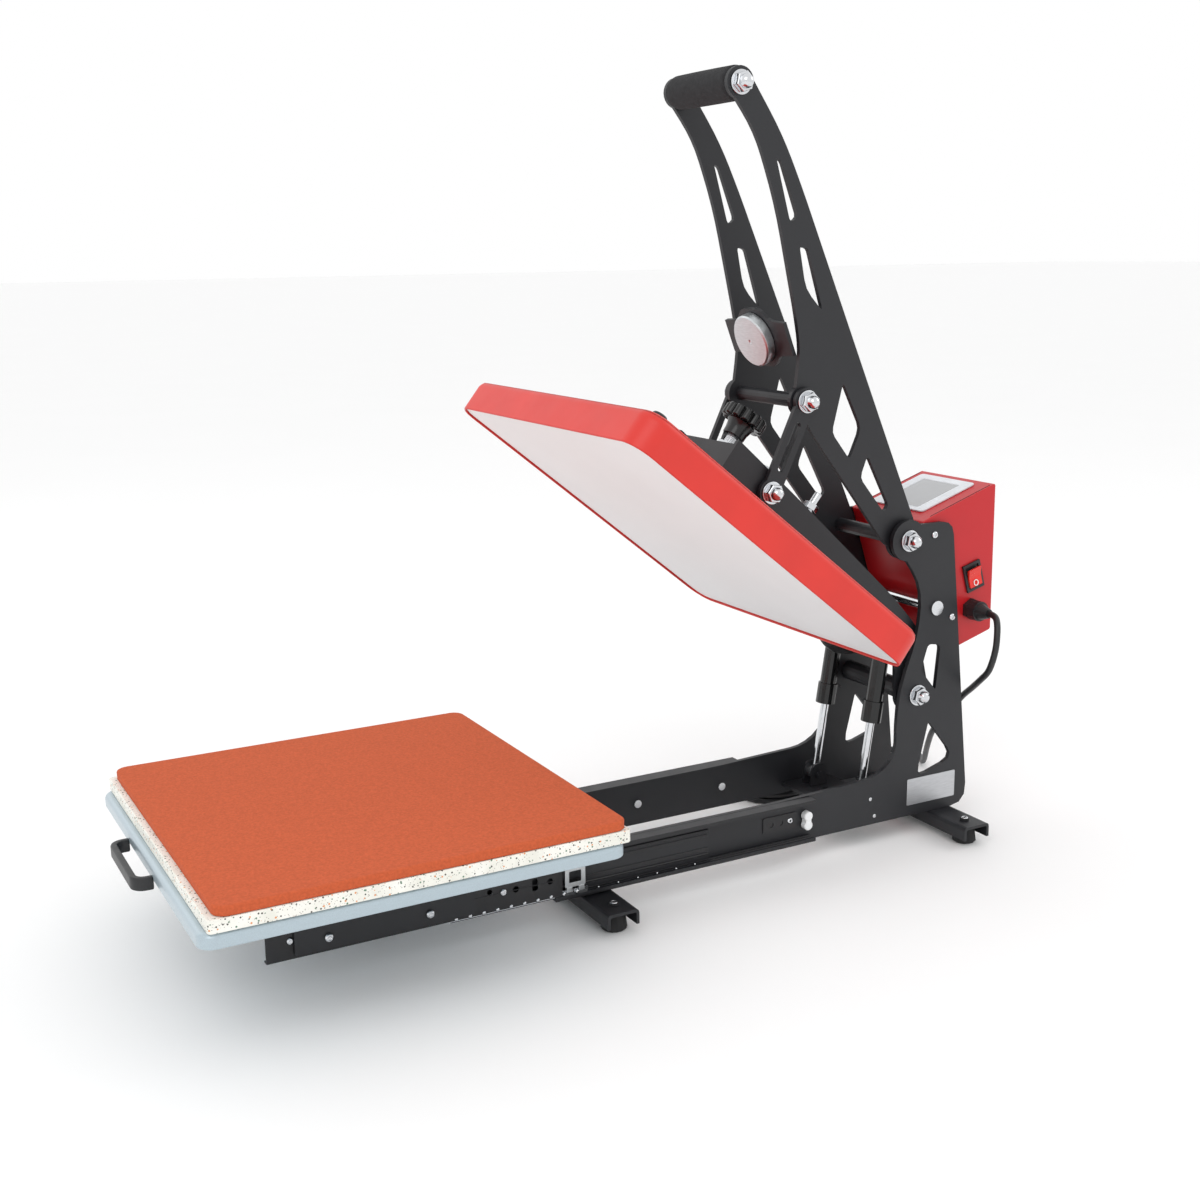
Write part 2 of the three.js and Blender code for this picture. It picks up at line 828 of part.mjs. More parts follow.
// a pressed cover, open underneath, with its upper edge rounded over
function headCover() {
  const half = coverWidth / 2;
  const y0 = heaterCentreY - coverDepth / 2;
  const y1 = heaterCentreY + coverDepth / 2;
  const outside = softSlabZ(
    roundedRectangle(-half, half, y0, y1, coverCornerRadius),
    coverBottom,
    coverTop,
    coverEdgeRadius,
  );
  const wide = 2 * coverSheet;
  const narrow = 2 * (coverEdgeRadius + coverSheet);
  const shoulder = coverTop - coverEdgeRadius - coverSheet;
  const cavityCorner = coverCornerRadius - coverSheet;
  const shoulderCorner = cavityCorner - coverEdgeRadius;
  return cut(
    outside,
    headSlab(coverWidth - wide, coverDepth - wide, coverBottom - 1, shoulder, cavityCorner),
    headSlab(coverWidth - narrow, coverDepth - narrow, shoulder - 1, coverTop - coverSheet, shoulderCorner),
  );
}
addMesh(head, 'head_cover', headCover(), redCover);

const carrierBottom = coverTop + gap;
const boxTop = carrierBottom + boxHeight;
const boxRear = -boxFrontToPivot + boxLength;
const linkPin = new THREE.Vector2()
  .subVectors(linkBottomPivot, headPivot)
  .rotateAround(new THREE.Vector2(), headTilt);
const springPin = new THREE.Vector2()
  .subVectors(springHead, headPivot)
  .rotateAround(new THREE.Vector2(), headTilt);

// the welded carrier: two side arms from the pivot, and a box that holds the magnet and the screw
function headCarrier() {
  const inner = carrierOuter - carrierPlate;
  const front = -boxFrontToPivot;
  const shape = roundedOutline([
    [front, carrierBottom, 0],
    [-carrierRear, carrierBottom, 14],
    [-19, -12, 6],
    [19, -12, 6],
    [22, 12, 14],
    [-40, 60, 12],
    [-91, 68, 10],
    [boxRear, boxTop - boxLidDrop, 10],
    [front, boxTop, 2],
  ]);
  const boss = new THREE.Shape().absarc(0, 0, earRadius, 0, Math.PI * 2, false);
  const arms = [-1, 1].flatMap((side) => {
    const [x0, x1] = side > 0 ? [inner, carrierOuter] : [-carrierOuter, -inner];
    return [plateX(shape, x0, x1), plateX(boss, x0, x1, 18)];
  });
  const half = inner + 1;
  const lidTop = boxTop - boxLidDrop;
  const lid = box(-half, half, front, boxRear, lidTop - boxPlate, lidTop);
  const nose = box(-half, half, front, front + boxPlate, carrierBottom, lidTop - 1);
  const deckRear = boxRear + deckOverhang;
  const deck = box(-half, half, front, deckRear, carrierBottom, carrierBottom + boxPlate);
  const tube = barX(pivotTubeRadius, -half, half, 0, 0);
  const pin = barX(springPinRadius, -half, half, springPin.x, springPin.y, 16);
  const bore = barX(pivotPinRadius + pinClearance, -carrierOuter - 1, carrierOuter + 1, 0, 0);
  const lidBelow = lidTop - 2 * boxPlate;
  const screwHole = barZ(screwRadius + gap, lidBelow, boxTop + 1, 0, -knobToPivot, 24);
  const magnetHole = barZ(magnetRadius + gap, lidBelow, boxTop + 1, 0, magnetSeat.x, 24);
  return cut(join(...arms, lid, nose, deck, tube, pin), bore, screwHole, magnetHole);
}

// Where the armature disc arrives on the head when the toggle is straight.
const armLength = handlePivot.distanceTo(linkTopPivot);
const linkLength = linkTopPivot.distanceTo(linkBottomPivot);
const closedLinkPin = linkPin.clone().add(headPivot);
const reachToPin = handlePivot.distanceTo(closedLinkPin);
const cosAtHandle =
  (armLength ** 2 + reachToPin ** 2 - linkLength ** 2) / (2 * armLength * reachToPin);
const closedArmAngle =
  Math.atan2(closedLinkPin.y - handlePivot.y, closedLinkPin.x - handlePivot.x) +
  2 * Math.PI -
  Math.acos(Math.min(1, cosAtHandle));
const openArmAngle = Math.atan2(linkTopPivot.y - handlePivot.y, linkTopPivot.x - handlePivot.x);
const handleSwing = closedArmAngle - openArmAngle;
const closedDisc = discCentre.clone().rotateAround(handlePivot, handleSwing).sub(headPivot);
const discSlope = Math.PI / 2 - handleSwing; // the disc lies level when the press is shut
const magnetSeat = new THREE.Vector2(closedDisc.x, closedDisc.y - discThickness / 2 - runningGap);

addMesh(head, 'head_carrier', headCarrier(), blackPaint);
addMesh(
  head,
  'electromagnet',
  barZ(magnetRadius, carrierBottom + boxPlate + gap, magnetSeat.y, 0, magnetSeat.x),
  zinc,
);

// a screw through the carrier box, and the toothed knob on top of it
const knobY = -knobToPivot;
const knobBottom = boxTop + screwReach;
addMesh(
  head,
  'pressure_screw',
  join(
    barZ(screwRadius, carrierBottom + boxPlate + gap, knobBottom + screwSocket, 0, knobY),
    barZ(screwRadius + 3, boxTop + gap, boxTop + screwNut, 0, knobY, 6),
  ),
  steel,
);

function pressureKnob() {
  const wheelBottom = knobBottom + knobHubHeight;
  const outline = new THREE.Shape();
  const steps = knobTeeth * 4;
  for (let i = 0; i < steps; i += 1) {
    const angle = (i / steps) * Math.PI * 2;
    const radius = i % 4 < 2 ? knobRadius : knobRadius - knobToothDepth;
    const point = [radius * Math.cos(angle), radius * Math.sin(angle)];
    if (i === 0) {
      outline.moveTo(...point);
    } else {
      outline.lineTo(...point);
    }
  }
  outline.closePath();
  const wheel = slabZ(outline, wheelBottom, wheelBottom + knobWheelThickness);
  const hub = barZ(knobHubRadius, knobBottom, wheelBottom + 1, 0, 0);
  const capTop = wheelBottom + knobWheelThickness + knobCapRise;
  const cap = barZ(knobCapRadius, wheelBottom, capTop, 0, 0);
  const socketTop = knobBottom + screwSocket + 1;
  const socket = barZ(screwRadius + runningGap, knobBottom - 1, socketTop, 0, 0);
  return cut(join(wheel, hub, cap), socket).translate(0, knobY, 0);
}
addMesh(head, 'pressure_knob', pressureKnob(), blackPlastic);

// ---------------------------------------------------------------- handle
const handle = new THREE.Group();
handle.position.set(0, handlePivot.x, handlePivot.y);
press.add(handle);

const fromHandle = (point) => new THREE.Vector2().subVectors(point, handlePivot);
const grip = fromHandle(gripCentre);
const elbow = fromHandle(linkTopPivot);
const disc = fromHandle(discCentre);

function handleArm() {
  const { x: gy, y: gz } = grip;
  const { x: by, y: bz } = elbow;
  const outline = roundedOutline([
    [gy - 13, gz - 4, 6],
    [gy + 18, gz - 44, 22],
    [gy + 42, gz - 108, 40],
    [by - 10, bz + 84, 44],
    [by - 4, bz + 50, 40],
    [by - 10, bz + 4, 10],
    [by + 9, bz - 30, 14],
    [-24, -4, 10],
    [0, -16, 10],
    [18, 8, 10],
    [-138, 360, 60],
    [gy + 48, gz - 46, 40],
    [gy + 12, gz + 6, 8],
    [gy, gz + 4, 6],
  ]);
  const holes = [
    [[gy + 41, gz - 67, 3], [gy + 58, gz - 127, 4], [gy + 67, gz - 122, 4], [gy + 47, gz - 70, 3]],
    [[by - 7, bz + 150, 3], [by + 1, bz + 109, 10], [by + 22, bz + 87, 6], [by + 3, bz + 148, 3]],
    [[by + 49, bz + 16, 5], [by + 36, bz - 34, 6], [by + 59, bz - 63, 5], [by + 73, bz - 32, 7]],
    [[by + 82, bz - 60, 5], [by + 73, bz - 83, 6], [by + 105, bz - 122, 6], [by + 111, bz - 115, 4]],
  ];
  const eyes = [
    [gy, gz, gripEyeRadius],
    [by, bz, armBossRadius],
    [0, 0, earRadius - 1],
  ];
  const plates = eyes.map(([y, z, radius]) => {
    const eye = new THREE.Shape().absarc(y, z, radius, 0, Math.PI * 2, false);
    return plateX(eye, armInner, armOuter, 14);
  });
  const windows = holes.map((corners) =>
    plateX(roundedOutline(corners), armInner - 1, armOuter + 1, 2),
  );
  return cut(
    join(plateX(outline, armInner, armOuter, 4), ...plates),
    ...windows,
    barX(pivotPinRadius + pinClearance, armInner - 1, armOuter + 1, 0, 0),
    barX(pivotPinRadius + gap, armInner - 1, armOuter + 1, by, bz),
    barX(pivotPinRadius + gap, armInner - 1, armOuter + 1, gy, gz),
  );
}
addPair(handle, 'handle_arm', handleArm(), blackPaint);

function tubeX(outerRadius, innerRadius, halfLength, y, z) {
  return cut(
    barX(outerRadius, -halfLength, halfLength, y, z),
    barX(innerRadius, -halfLength - 1, halfLength + 1, y, z),
  );
}

const tubeHalf = armInner - gap;
const spacerTubeRadius = pivotPinRadius + gap + spacerTubeWall;
addMesh(handle, 'grip_bolt', nuttedAxle(pivotPinRadius, armOuter, grip.x, grip.y), steel);
addMesh(
  handle,
  'foam_grip',
  tubeX(gripRadius, pivotPinRadius + gap, tubeHalf, grip.x, grip.y),
  rubber,
);
addMesh(
  handle,
  'handle_pivot_tube',
  tubeX(spacerTubeRadius, pivotPinRadius + gap, tubeHalf, 0, 0),
  blackPaint,
);
addMesh(
  handle,
  'link_spacer_tube',
  tubeX(spacerTubeRadius, pivotPinRadius + gap, tubeHalf, elbow.x, elbow.y),
  blackPaint,
);
addMesh(handle, 'link_bolt', nuttedAxle(pivotPinRadius, linkOuter, elbow.x, elbow.y), steel);

// the plate across the arms that carries the armature disc
const discMount = new THREE.Group();
discMount.position.set(0, disc.x, disc.y);
discMount.rotation.x = -handleSwing;
handle.add(discMount);
const discTop = discThickness / 2;
addMesh(
  discMount,
  'armature_disc',
  join(
    barZ(discRadius, -discTop, discTop, 0, 0, 32),
    barZ(discStudRadius, discTop - 1, discTop + crossPlateThickness + discStudReach, 0, 0, 12),
  ),
  zinc,
);
addMesh(
  discMount,
  'armature_plate',
  cut(
    slabZ(
      roundedOutline([
        [-tubeHalf, -crossPlateHeight * 0.28, 0],
        [-discRadius, -crossPlateHeight * 0.3, 10],
        [-discRadius * 0.6, -crossPlateHeight / 2, 16],
        [discRadius * 0.6, -crossPlateHeight / 2, 16],
        [discRadius, -crossPlateHeight * 0.3, 10],
        [tubeHalf, -crossPlateHeight * 0.28, 0],
        [tubeHalf, crossPlateHeight * 0.28, 0],
        [discRadius, crossPlateHeight * 0.3, 10],
        [discRadius * 0.6, crossPlateHeight / 2, 16],
        [-discRadius * 0.6, crossPlateHeight / 2, 16],
        [-discRadius, crossPlateHeight * 0.3, 10],
        [-tubeHalf, crossPlateHeight * 0.28, 0],
      ]),
      discTop + gap,
      discTop + gap + crossPlateThickness,
      3,
    ),
    barZ(discStudRadius + gap, discTop - 1, discTop + 2 * crossPlateThickness, 0, 0, 12),
  ),
  blackPaint,
);

// ---------------------------------------------------------------- links
// Each link is built hanging straight down from its upper pivot, then turned to its real slope.
const links = new THREE.Group();
links.position.set(0, linkTopPivot.x, linkTopPivot.y);
const linkLean = Math.atan2(
  linkBottomPivot.x - linkTopPivot.x,
  linkTopPivot.y - linkBottomPivot.y,
);
links.rotation.x = linkLean;
press.add(links);

function toggleLink() {
  const bar = roundedOutline([
    [-linkWaist, 0, 0],
    [-linkWaist, -linkLength, 0],
    [linkWaist, -linkLength, 0],
    [linkWaist, 0, 0],
  ]);
  const slotTop = -(linkLength - linkSlotLength) / 2;
  const halfSlot = linkSlotWidth / 2;
  const slot = roundedOutline([
    [-halfSlot, slotTop, halfSlot],
    [-halfSlot, slotTop - linkSlotLength, halfSlot],
    [halfSlot, slotTop - linkSlotLength, halfSlot],
    [halfSlot, slotTop, halfSlot],
  ]);
  const ends = [0, -linkLength].map((z) =>
    plateX(new THREE.Shape().absarc(0, z, linkEndRadius, 0, Math.PI * 2), linkInner, linkOuter, 16),
  );
  const nut = domedNut(linkOuter - gap, 0, -linkLength);
  return cut(
    join(plateX(bar, linkInner, linkOuter), ...ends, nut),
    plateX(slot, linkInner - 1, linkOuter + 1, 3),
    barX(pivotPinRadius + pinClearance, linkInner - 1, linkOuter + 1, 0, 0),
  );
}
addPair(links, 'toggle_link', toggleLink(), blackPaint);

// ---------------------------------------------------------------- gas springs
// Built upright about the lower pivot, then leaned to the upper one. The upper eye is larger than
// its pin, because that pivot closes the linkage.
const springs = new THREE.Group();
springs.position.set(0, springFoot.x, springFoot.y);
springs.rotation.x = -Math.atan2(springHead.x - springFoot.x, springHead.y - springFoot.y);
press.add(springs);
const springLength = springFoot.distanceTo(springHead);

function springRod() {
  const eye = barX(
    springEyeRadius,
    springX - springEyeThickness / 2,
    springX + springEyeThickness / 2,
    0,
    0,
    20,
  );
  const rod = barZ(rodRadius, 4, collarFromFoot + rodOverlap, springX, 0, 20);
  const reach = springEyeThickness;
  const hole = barX(springPinRadius + pinClearance, springX - reach, springX + reach, 0, 0, 16);
  return cut(join(eye, rod), hole);
}

function springCylinder() {
  const barrelTop = springLength - barrelToEye;
  const body = join(
    barZ(collarRadius, collarFromFoot, collarFromFoot + collarLength, springX, 0),
    barZ(cylinderRadius, collarFromFoot + 2, barrelTop, springX, 0),
    barZ(stemRadius, barrelTop - 2, springLength - springPinRadius - 2, springX, 0, 12),
    barX(
      springEyeRadius,
      springX - springEyeThickness / 2,
      springX + springEyeThickness / 2,
      0,
      springLength,
      20,
    ),
  );
  const bore = barZ(cylinderBore, collarFromFoot - 1, barrelTop - 8, springX, 0, 20);
  const mouth = springPinRadius + springPinClearance;
  const reach = springEyeThickness;
  const hole = barX(mouth, springX - reach, springX + reach, 0, springLength, 20);
  return cut(body, bore, hole);
}
addPair(springs, 'spring_rod', springRod(), steel);
addPair(springs, 'spring_cylinder', springCylinder(), blackPaint);

// ---------------------------------------------------------------- control box
function controlOutline(inset) {
  const corners = [controlBottomFront, controlBottomRear, controlTopRear, controlTopFront];
  const centre = corners
    .reduce((sum, corner) => sum.add(corner), new THREE.Vector2())
    .multiplyScalar(1 / corners.length);
  return roundedOutline(
    corners.map((corner) => {
      const toCentre = new THREE.Vector2().subVectors(centre, corner).setLength(inset * 1.5);
      return [corner.x + toCentre.x, corner.y + toCentre.y, inset > 0 ? 0 : 2];
    }),
  );
}

function controlShell() {
  const outside = plateX(controlOutline(0), -boxHalfWidth, boxHalfWidth, 2);
  const side = boxHalfWidth - controlSheet;
  const inside = plateX(controlOutline(controlSheet), -side, side, 2);
  const vent0 = controlBottomFront.x + ventFront;
  const floor = controlBottomFront.y;
  const vent = box(-ventHalfWidth, ventHalfWidth, vent0, vent0 + ventLength, floor - 6, floor + 22);
  const [hole0, hole1] = [side - 1, boxHalfWidth + 1];
  const rockerHole = barX(neckRadius + runningGap, hole0, hole1, rockerCentre.x, rockerCentre.y, 16);
  const glandHole = barX(neckRadius + runningGap, hole0, hole1, glandCentre.x, glandCentre.y, 16);
  return cut(outside, inside, vent, rockerHole, glandHole);
}
addMesh(base, 'control_box', controlShell(), redBox);

// pieces on the sloping top are built level with the slope, from the box's front upper edge
const controlTop = new THREE.Group();
controlTop.position.set(0, controlTopFront.x, controlTopFront.y);
controlTop.rotation.x = Math.atan2(
  controlTopRear.y - controlTopFront.y,
  controlTopRear.x - controlTopFront.x,
);
base.add(controlTop);
addMesh(
  controlTop,
  'touch_panel',
  slabZ(
    roundedRectangle(
      panelCentreX - panelWidth / 2,
      panelCentreX + panelWidth / 2,
      panelFront,
      panelFront + panelLength,
      3,
    ),
    gap,
    gap + panelThickness,
    2,
  ),
  panelGrey,
);
addMesh(
  controlTop,
  'control_board',
  box(
    -controlBoardHalfWidth,
    controlBoardHalfWidth,
    controlBoardFront,
    controlBoardFront + controlBoardLength,
    -boardTopGap - controlBoardThickness,
    -boardTopGap,
  ),
  finish(0x2c6b3c, 0.7, 0),
);

// the power switch, in a raised surround on the right side of the box
const rockerGroup = new THREE.Group();
rockerGroup.position.set(boxHalfWidth, rockerCentre.x, rockerCentre.y);
rockerGroup.rotation.x = rockerSlope;
base.add(rockerGroup);
const bezelReach = 2.6;
const bezelWall = 3;
const bezelFloor = 0.8;
const neckDepth = 12;
addMesh(
  rockerGroup,
  'switch_surround',
  cut(
    join(
      box(gap, bezelReach, -rockerWidth / 2, rockerWidth / 2, -rockerHeight / 2, rockerHeight / 2),
      barX(neckRadius, -neckDepth, bezelReach - 1, 0, 0, 16),
    ),
    box(
      bezelFloor,
      bezelReach + 1,
      -rockerWidth / 2 + bezelWall,
      rockerWidth / 2 - bezelWall,
      -rockerHeight / 2 + bezelWall,
      rockerHeight / 2 - bezelWall,
    ),
  ),
  blackPlastic,
);
// the key is a shallow V in profile, tipped to its off position about a pin along the box
const keyHalfWidth = rockerWidth / 2 - bezelWall - runningGap;
const keyHalfHeight = rockerHeight / 2 - bezelWall - 1.6;
const keyPinX = 3;
function rockerKey() {
  const shape = new THREE.Shape()
    .moveTo(-0.2, -keyHalfHeight + 1)
    .lineTo(2.8, -keyHalfHeight)
    .lineTo(1.4, 0)
    .lineTo(2.8, keyHalfHeight)
    .lineTo(-0.2, keyHalfHeight - 1)
    .lineTo(-0.6, 0);
  const geometry = new THREE.ExtrudeGeometry(shape, {
    depth: 2 * keyHalfWidth,
    bevelEnabled: false,
  });
  return geometry
    .rotateX(Math.PI / 2)
    .translate(0, keyHalfWidth, 0)
    .rotateY(rockerTip)
    .translate(keyPinX, 0, 0);
}
addMesh(rockerGroup, 'power_rocker', rockerKey(), finish(0xd8281c, 0.35, 0));

// ---------------------------------------------------------------- mains cord
const glandEnd = boxHalfWidth + glandReach;
const nutEnd = boxHalfWidth + glandNut;
const capEnd = boxHalfWidth + glandCap;
addMesh(
  base,
  'cable_gland',
  cut(
    join(
      barX(glandRadius, boxHalfWidth + gap, nutEnd, glandCentre.x, glandCentre.y, 6),
      barX(glandRadius * 0.92, nutEnd - 1, capEnd, glandCentre.x, glandCentre.y),
      turnedX(
        [
          [0, capEnd - 1],
          [glandRadius * 0.8, capEnd - 1],
          [glandRadius * 0.7, capEnd + 3],
          [cordRadius + 1.6, glandEnd],
          [0, glandEnd],
        ],
        glandCentre.x,
        glandCentre.y,
      ),
      barX(neckRadius, boxHalfWidth - 10, boxHalfWidth + 2, glandCentre.x, glandCentre.y, 16),
    ),
    barX(cordRadius + gap, glandEnd - 3, glandEnd + 1, glandCentre.x, glandCentre.y, 16),
  ),
  blackPlastic,
);

// a tube of this radius through a list of points
function tubeThrough(points, radius, sides, steps) {
  const path = new THREE.CatmullRomCurve3(points.map((point) => new THREE.Vector3(...point)));
  const section = new THREE.Shape();
  for (let i = 0; i < sides; i += 1) {
    const angle = (i / sides) * Math.PI * 2;
    const [x, y] = [radius * Math.cos(angle), radius * Math.sin(angle)];
    if (i === 0) {
      section.moveTo(x, y);
    } else {
      section.lineTo(x, y);
    }
  }
  section.closePath();
  return new THREE.ExtrudeGeometry(section, { steps, extrudePath: path, bevelEnabled: false });
}

// The cord leaves the gland sideways, bends down behind the right plate, crosses behind the base
// to the table on the left, and runs forward to its coil beside the left plate.
const cordRest = cordRadius + 0.2;
const cordRoute = [
  [glandEnd - 2.6, 687, 246],
  [97, 686.5, 246],
  [105, 684, 244],
  [111.5, 680, 238],
  [115, 677, 228],
  [115.5, 675.5, 215],
  [112, 675, 200],
  [103, 677.5, 185.5],
  [89, 680.5, 173],
  [70, 686, 158.5],
  [50, 691, 143.5],
  [24, 697, 120],
  [-2, 704, 97],
  [-24, 713, 77],
  [-46, 727, 56],
  [-68, 743, 36],
  [-88, 758, 18],
  [-105, 770, 7],
  [-122, 782, cordRest],
  [-138, 789, cordRest],
  [-153, 787, cordRest],
  [-165, 777, cordRest],
  [-171, 760, cordRest],
  [-172, 738, cordRest],
  [-171.5, 710, cordRest],
  [-171, 680, cordRest],
  [-170.6, 650, cordRest],
  [-170.5, 620, cordRest],
  [-170.5, 600, cordRest],
  [-170.5, 580.6, cordRest],
];
addMesh(base, 'power_cord', tubeThrough(cordRoute, cordRadius, 8, 62), blackPlastic);

const coilTop = 2 * cordRadius * coilLayers;
const coilInner = coilMeanRadius - 2 * cordRadius;
const coilOuter = coilMeanRadius + 2 * cordRadius;
addMesh(
  base,
  'cord_coil',
  new THREE.LatheGeometry(
    [
      new THREE.Vector2(coilInner, 0.2),
      new THREE.Vector2(coilOuter, 0.2),
      new THREE.Vector2(coilOuter, coilTop),
      new THREE.Vector2(coilInner, coilTop),
      new THREE.Vector2(coilInner, 0.2),
    ],
    24,
  )
    .rotateX(Math.PI / 2)
    .translate(coilCentre.x, coilCentre.y, 0),
  blackPlastic,
);

// the last turn comes off the top of the coil and down to the plug
const tailX = coilCentre.x - coilMeanRadius - cordRadius;
const plugBack = coilCentre.y - plugToCoil;
const cordTail = [
  [tailX, coilCentre.y - 25.6, coilTop - cordRadius],
  [tailX, coilCentre.y - 34, coilTop - cordRadius - 0.6],
  [tailX, coilCentre.y - 46, coilTop - cordRadius - 3.4],
  [tailX, coilCentre.y - 58, plugHeight + 2],
  [tailX, coilCentre.y - 68, plugHeight + 0.4],
  [tailX, plugBack + 0.3, plugHeight],
];
addMesh(base, 'cord_tail', tubeThrough(cordTail, cordRadius, 8, 6), blackPlastic);

// a moulded three-pin plug lying on its side
function mainsPlug() {
  const bodyBack = plugBack - plugBoot;
  const bodyFront = bodyBack - plugLength + plugBoot;
  const cone = new THREE.CylinderGeometry(cordRadius + 1.2, plugBodyWidth * 0.3, plugBoot + 1, 12);
  const pins = [-1, 1].map((side) =>
    box(
      tailX + side * plugPinSpread - plugPinHalf.x,
      tailX + side * plugPinSpread + plugPinHalf.x,
      bodyFront - plugPinLength,
      bodyFront + 1,
      plugHeight - plugPinHalf.y,
      plugHeight + plugPinHalf.y,
    ),
  );
  const earth = new THREE.CylinderGeometry(2.4, 2.4, plugPinLength + 4, 10);
  return join(
    box(
      tailX - plugBodyWidth / 2,
      tailX + plugBodyWidth / 2,
      bodyFront,
      bodyBack,
      0.2,
      2 * plugHeight - 0.4,
    ),
    cone.translate(tailX, bodyBack + plugBoot / 2 - 0.5, plugHeight),
    ...pins,
    earth.translate(tailX, bodyFront - plugPinLength / 2 - 1, plugHeight + plugEarthRise),
  );
}
addMesh(base, 'mains_plug', mainsPlug(), blackPlastic);

// ---------------------------------------------------------------- wiring conduit
// It leaves the carrier between its arms, hangs in a loop and goes up into the control box.
const conduitRoute = [
  [-13, 502, 297],
  [-13, 516, 291],
  [-14, 528, 279],
  [-15, 537, 258],
  [-16, 544, 235],
  [-17, 553, 216],
  [-19, 568, 204],
  [-20, 588, 200],
  [-21, 608, 202],
  [-21, 626, 210],
  [-21, 639, 221],
  [-21, 648.5, 231],
];
addMesh(base, 'conduit', tubeThrough(conduitRoute, conduitRadius, 10, 22), blackPlastic);

// ---------------------------------------------------------------- origin
const front = trayFront - pullReach;
const rear = controlBottomRear.x;
press.position.y = -(front + rear) / 2;

export default press;
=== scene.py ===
# Looks of the clamshell heat press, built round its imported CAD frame.
# Shapes are made in millimetres: Y = 0 is the pulled-out platen's centre and Z = 0 is the table.
import json
import math

import bmesh
import bpy
from mathutils import Matrix, Vector


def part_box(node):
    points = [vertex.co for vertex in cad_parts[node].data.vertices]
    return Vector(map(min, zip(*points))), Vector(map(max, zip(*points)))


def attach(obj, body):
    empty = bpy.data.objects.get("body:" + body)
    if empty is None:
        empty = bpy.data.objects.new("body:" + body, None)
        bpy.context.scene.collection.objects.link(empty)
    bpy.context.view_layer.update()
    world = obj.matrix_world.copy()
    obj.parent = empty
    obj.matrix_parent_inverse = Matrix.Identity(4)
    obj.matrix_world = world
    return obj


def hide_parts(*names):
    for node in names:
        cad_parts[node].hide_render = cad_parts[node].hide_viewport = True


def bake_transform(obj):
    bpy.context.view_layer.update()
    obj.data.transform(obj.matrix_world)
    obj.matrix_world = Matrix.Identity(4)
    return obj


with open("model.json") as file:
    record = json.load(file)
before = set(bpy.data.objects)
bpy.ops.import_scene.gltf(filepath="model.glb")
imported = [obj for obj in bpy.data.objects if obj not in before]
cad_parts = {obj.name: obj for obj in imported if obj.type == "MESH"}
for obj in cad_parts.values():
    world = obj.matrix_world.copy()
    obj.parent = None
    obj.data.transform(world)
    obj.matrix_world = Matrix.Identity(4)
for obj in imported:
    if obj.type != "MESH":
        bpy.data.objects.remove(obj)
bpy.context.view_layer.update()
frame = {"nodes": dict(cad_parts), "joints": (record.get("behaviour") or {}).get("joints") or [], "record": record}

# ------------------------------------------------------------------ frame and places
MM = 0.001
JOINTS = {joint["name"]: joint for joint in frame["joints"]}
pad_low, pad_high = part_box("silicone_pad")
PLATEN_Y = (pad_low.y + pad_high.y) / 2
SHOP = Matrix.Translation((0, PLATEN_Y, 0)) @ Matrix.Scale(MM, 4)


def pivot(joint):
    """A hinge's place, in shop millimetres."""
    x, y, z = JOINTS[joint]["pos_m"]
    return Vector((x / MM, (y - PLATEN_Y) / MM, z / MM))


HEAD_PIVOT = pivot("head_hinge")
HANDLE_PIVOT = pivot("handle_swing")
LINK_TOP = pivot("link_swing")
TILT = math.radians(JOINTS["head_hinge"]["range_deg"][1])
# The handle's whole swing from open to shut, which is how far its disc leans while it is open.
SWING = math.radians(68.89)
HEAD = SHOP @ Matrix.Translation((0, HEAD_PIVOT.y, HEAD_PIVOT.z)) @ Matrix.Rotation(-TILT, 4, "X")
# The pin at the links' lower end, on the open head.
LINK_BOTTOM = Vector((0, 420.1, 397.7))
LINK_LEAN = math.atan2(LINK_BOTTOM.y - LINK_TOP.y, LINK_TOP.z - LINK_BOTTOM.z)
LINK_LENGTH = (LINK_BOTTOM - Vector((0, LINK_TOP.y, LINK_TOP.z))).length
LINKS = SHOP @ Matrix.Translation((0, LINK_TOP.y, LINK_TOP.z)) @ Matrix.Rotation(LINK_LEAN, 4, "X")
DISC_CENTRE = (0, 441, 544)
DISC = SHOP @ Matrix.Translation(DISC_CENTRE) @ Matrix.Rotation(-SWING, 4, "X")


# ------------------------------------------------------------------ camera
def make_camera():
    azimuth, elevation, roll = (math.radians(a) for a in (61.56, 12.55, -0.77))
    back = Vector(
        (
            math.sin(azimuth) * math.cos(elevation),
            -math.cos(azimuth) * math.cos(elevation),
            math.sin(elevation),
        )
    )
    right = Vector((0, 0, 1)).cross(back).normalized()
    up = back.cross(right)
    turned_right = right * math.cos(roll) + up * math.sin(roll)
    turned_up = back.cross(turned_right)
    data = bpy.data.cameras.new("camera")
    data.lens = 45.63
    data.sensor_width = 36
    data.shift_x = -0.0047
    data.shift_y = -0.0100
    camera = bpy.data.objects.new("camera", data)
    axes = Matrix((turned_right, turned_up, back)).transposed().to_4x4()
    camera.matrix_world = Matrix.Translation((1.2953, PLATEN_Y - 0.4351, 0.6352)) @ axes
    bpy.context.scene.collection.objects.link(camera)
    bpy.context.scene.camera = camera


make_camera()


# ------------------------------------------------------------------ materials
def linear(red, green, blue):
    def channel(value):
        value /= 255
        return value / 12.92 if value <= 0.04045 else ((value + 0.055) / 1.055) ** 2.4

    return (channel(red), channel(green), channel(blue), 1)


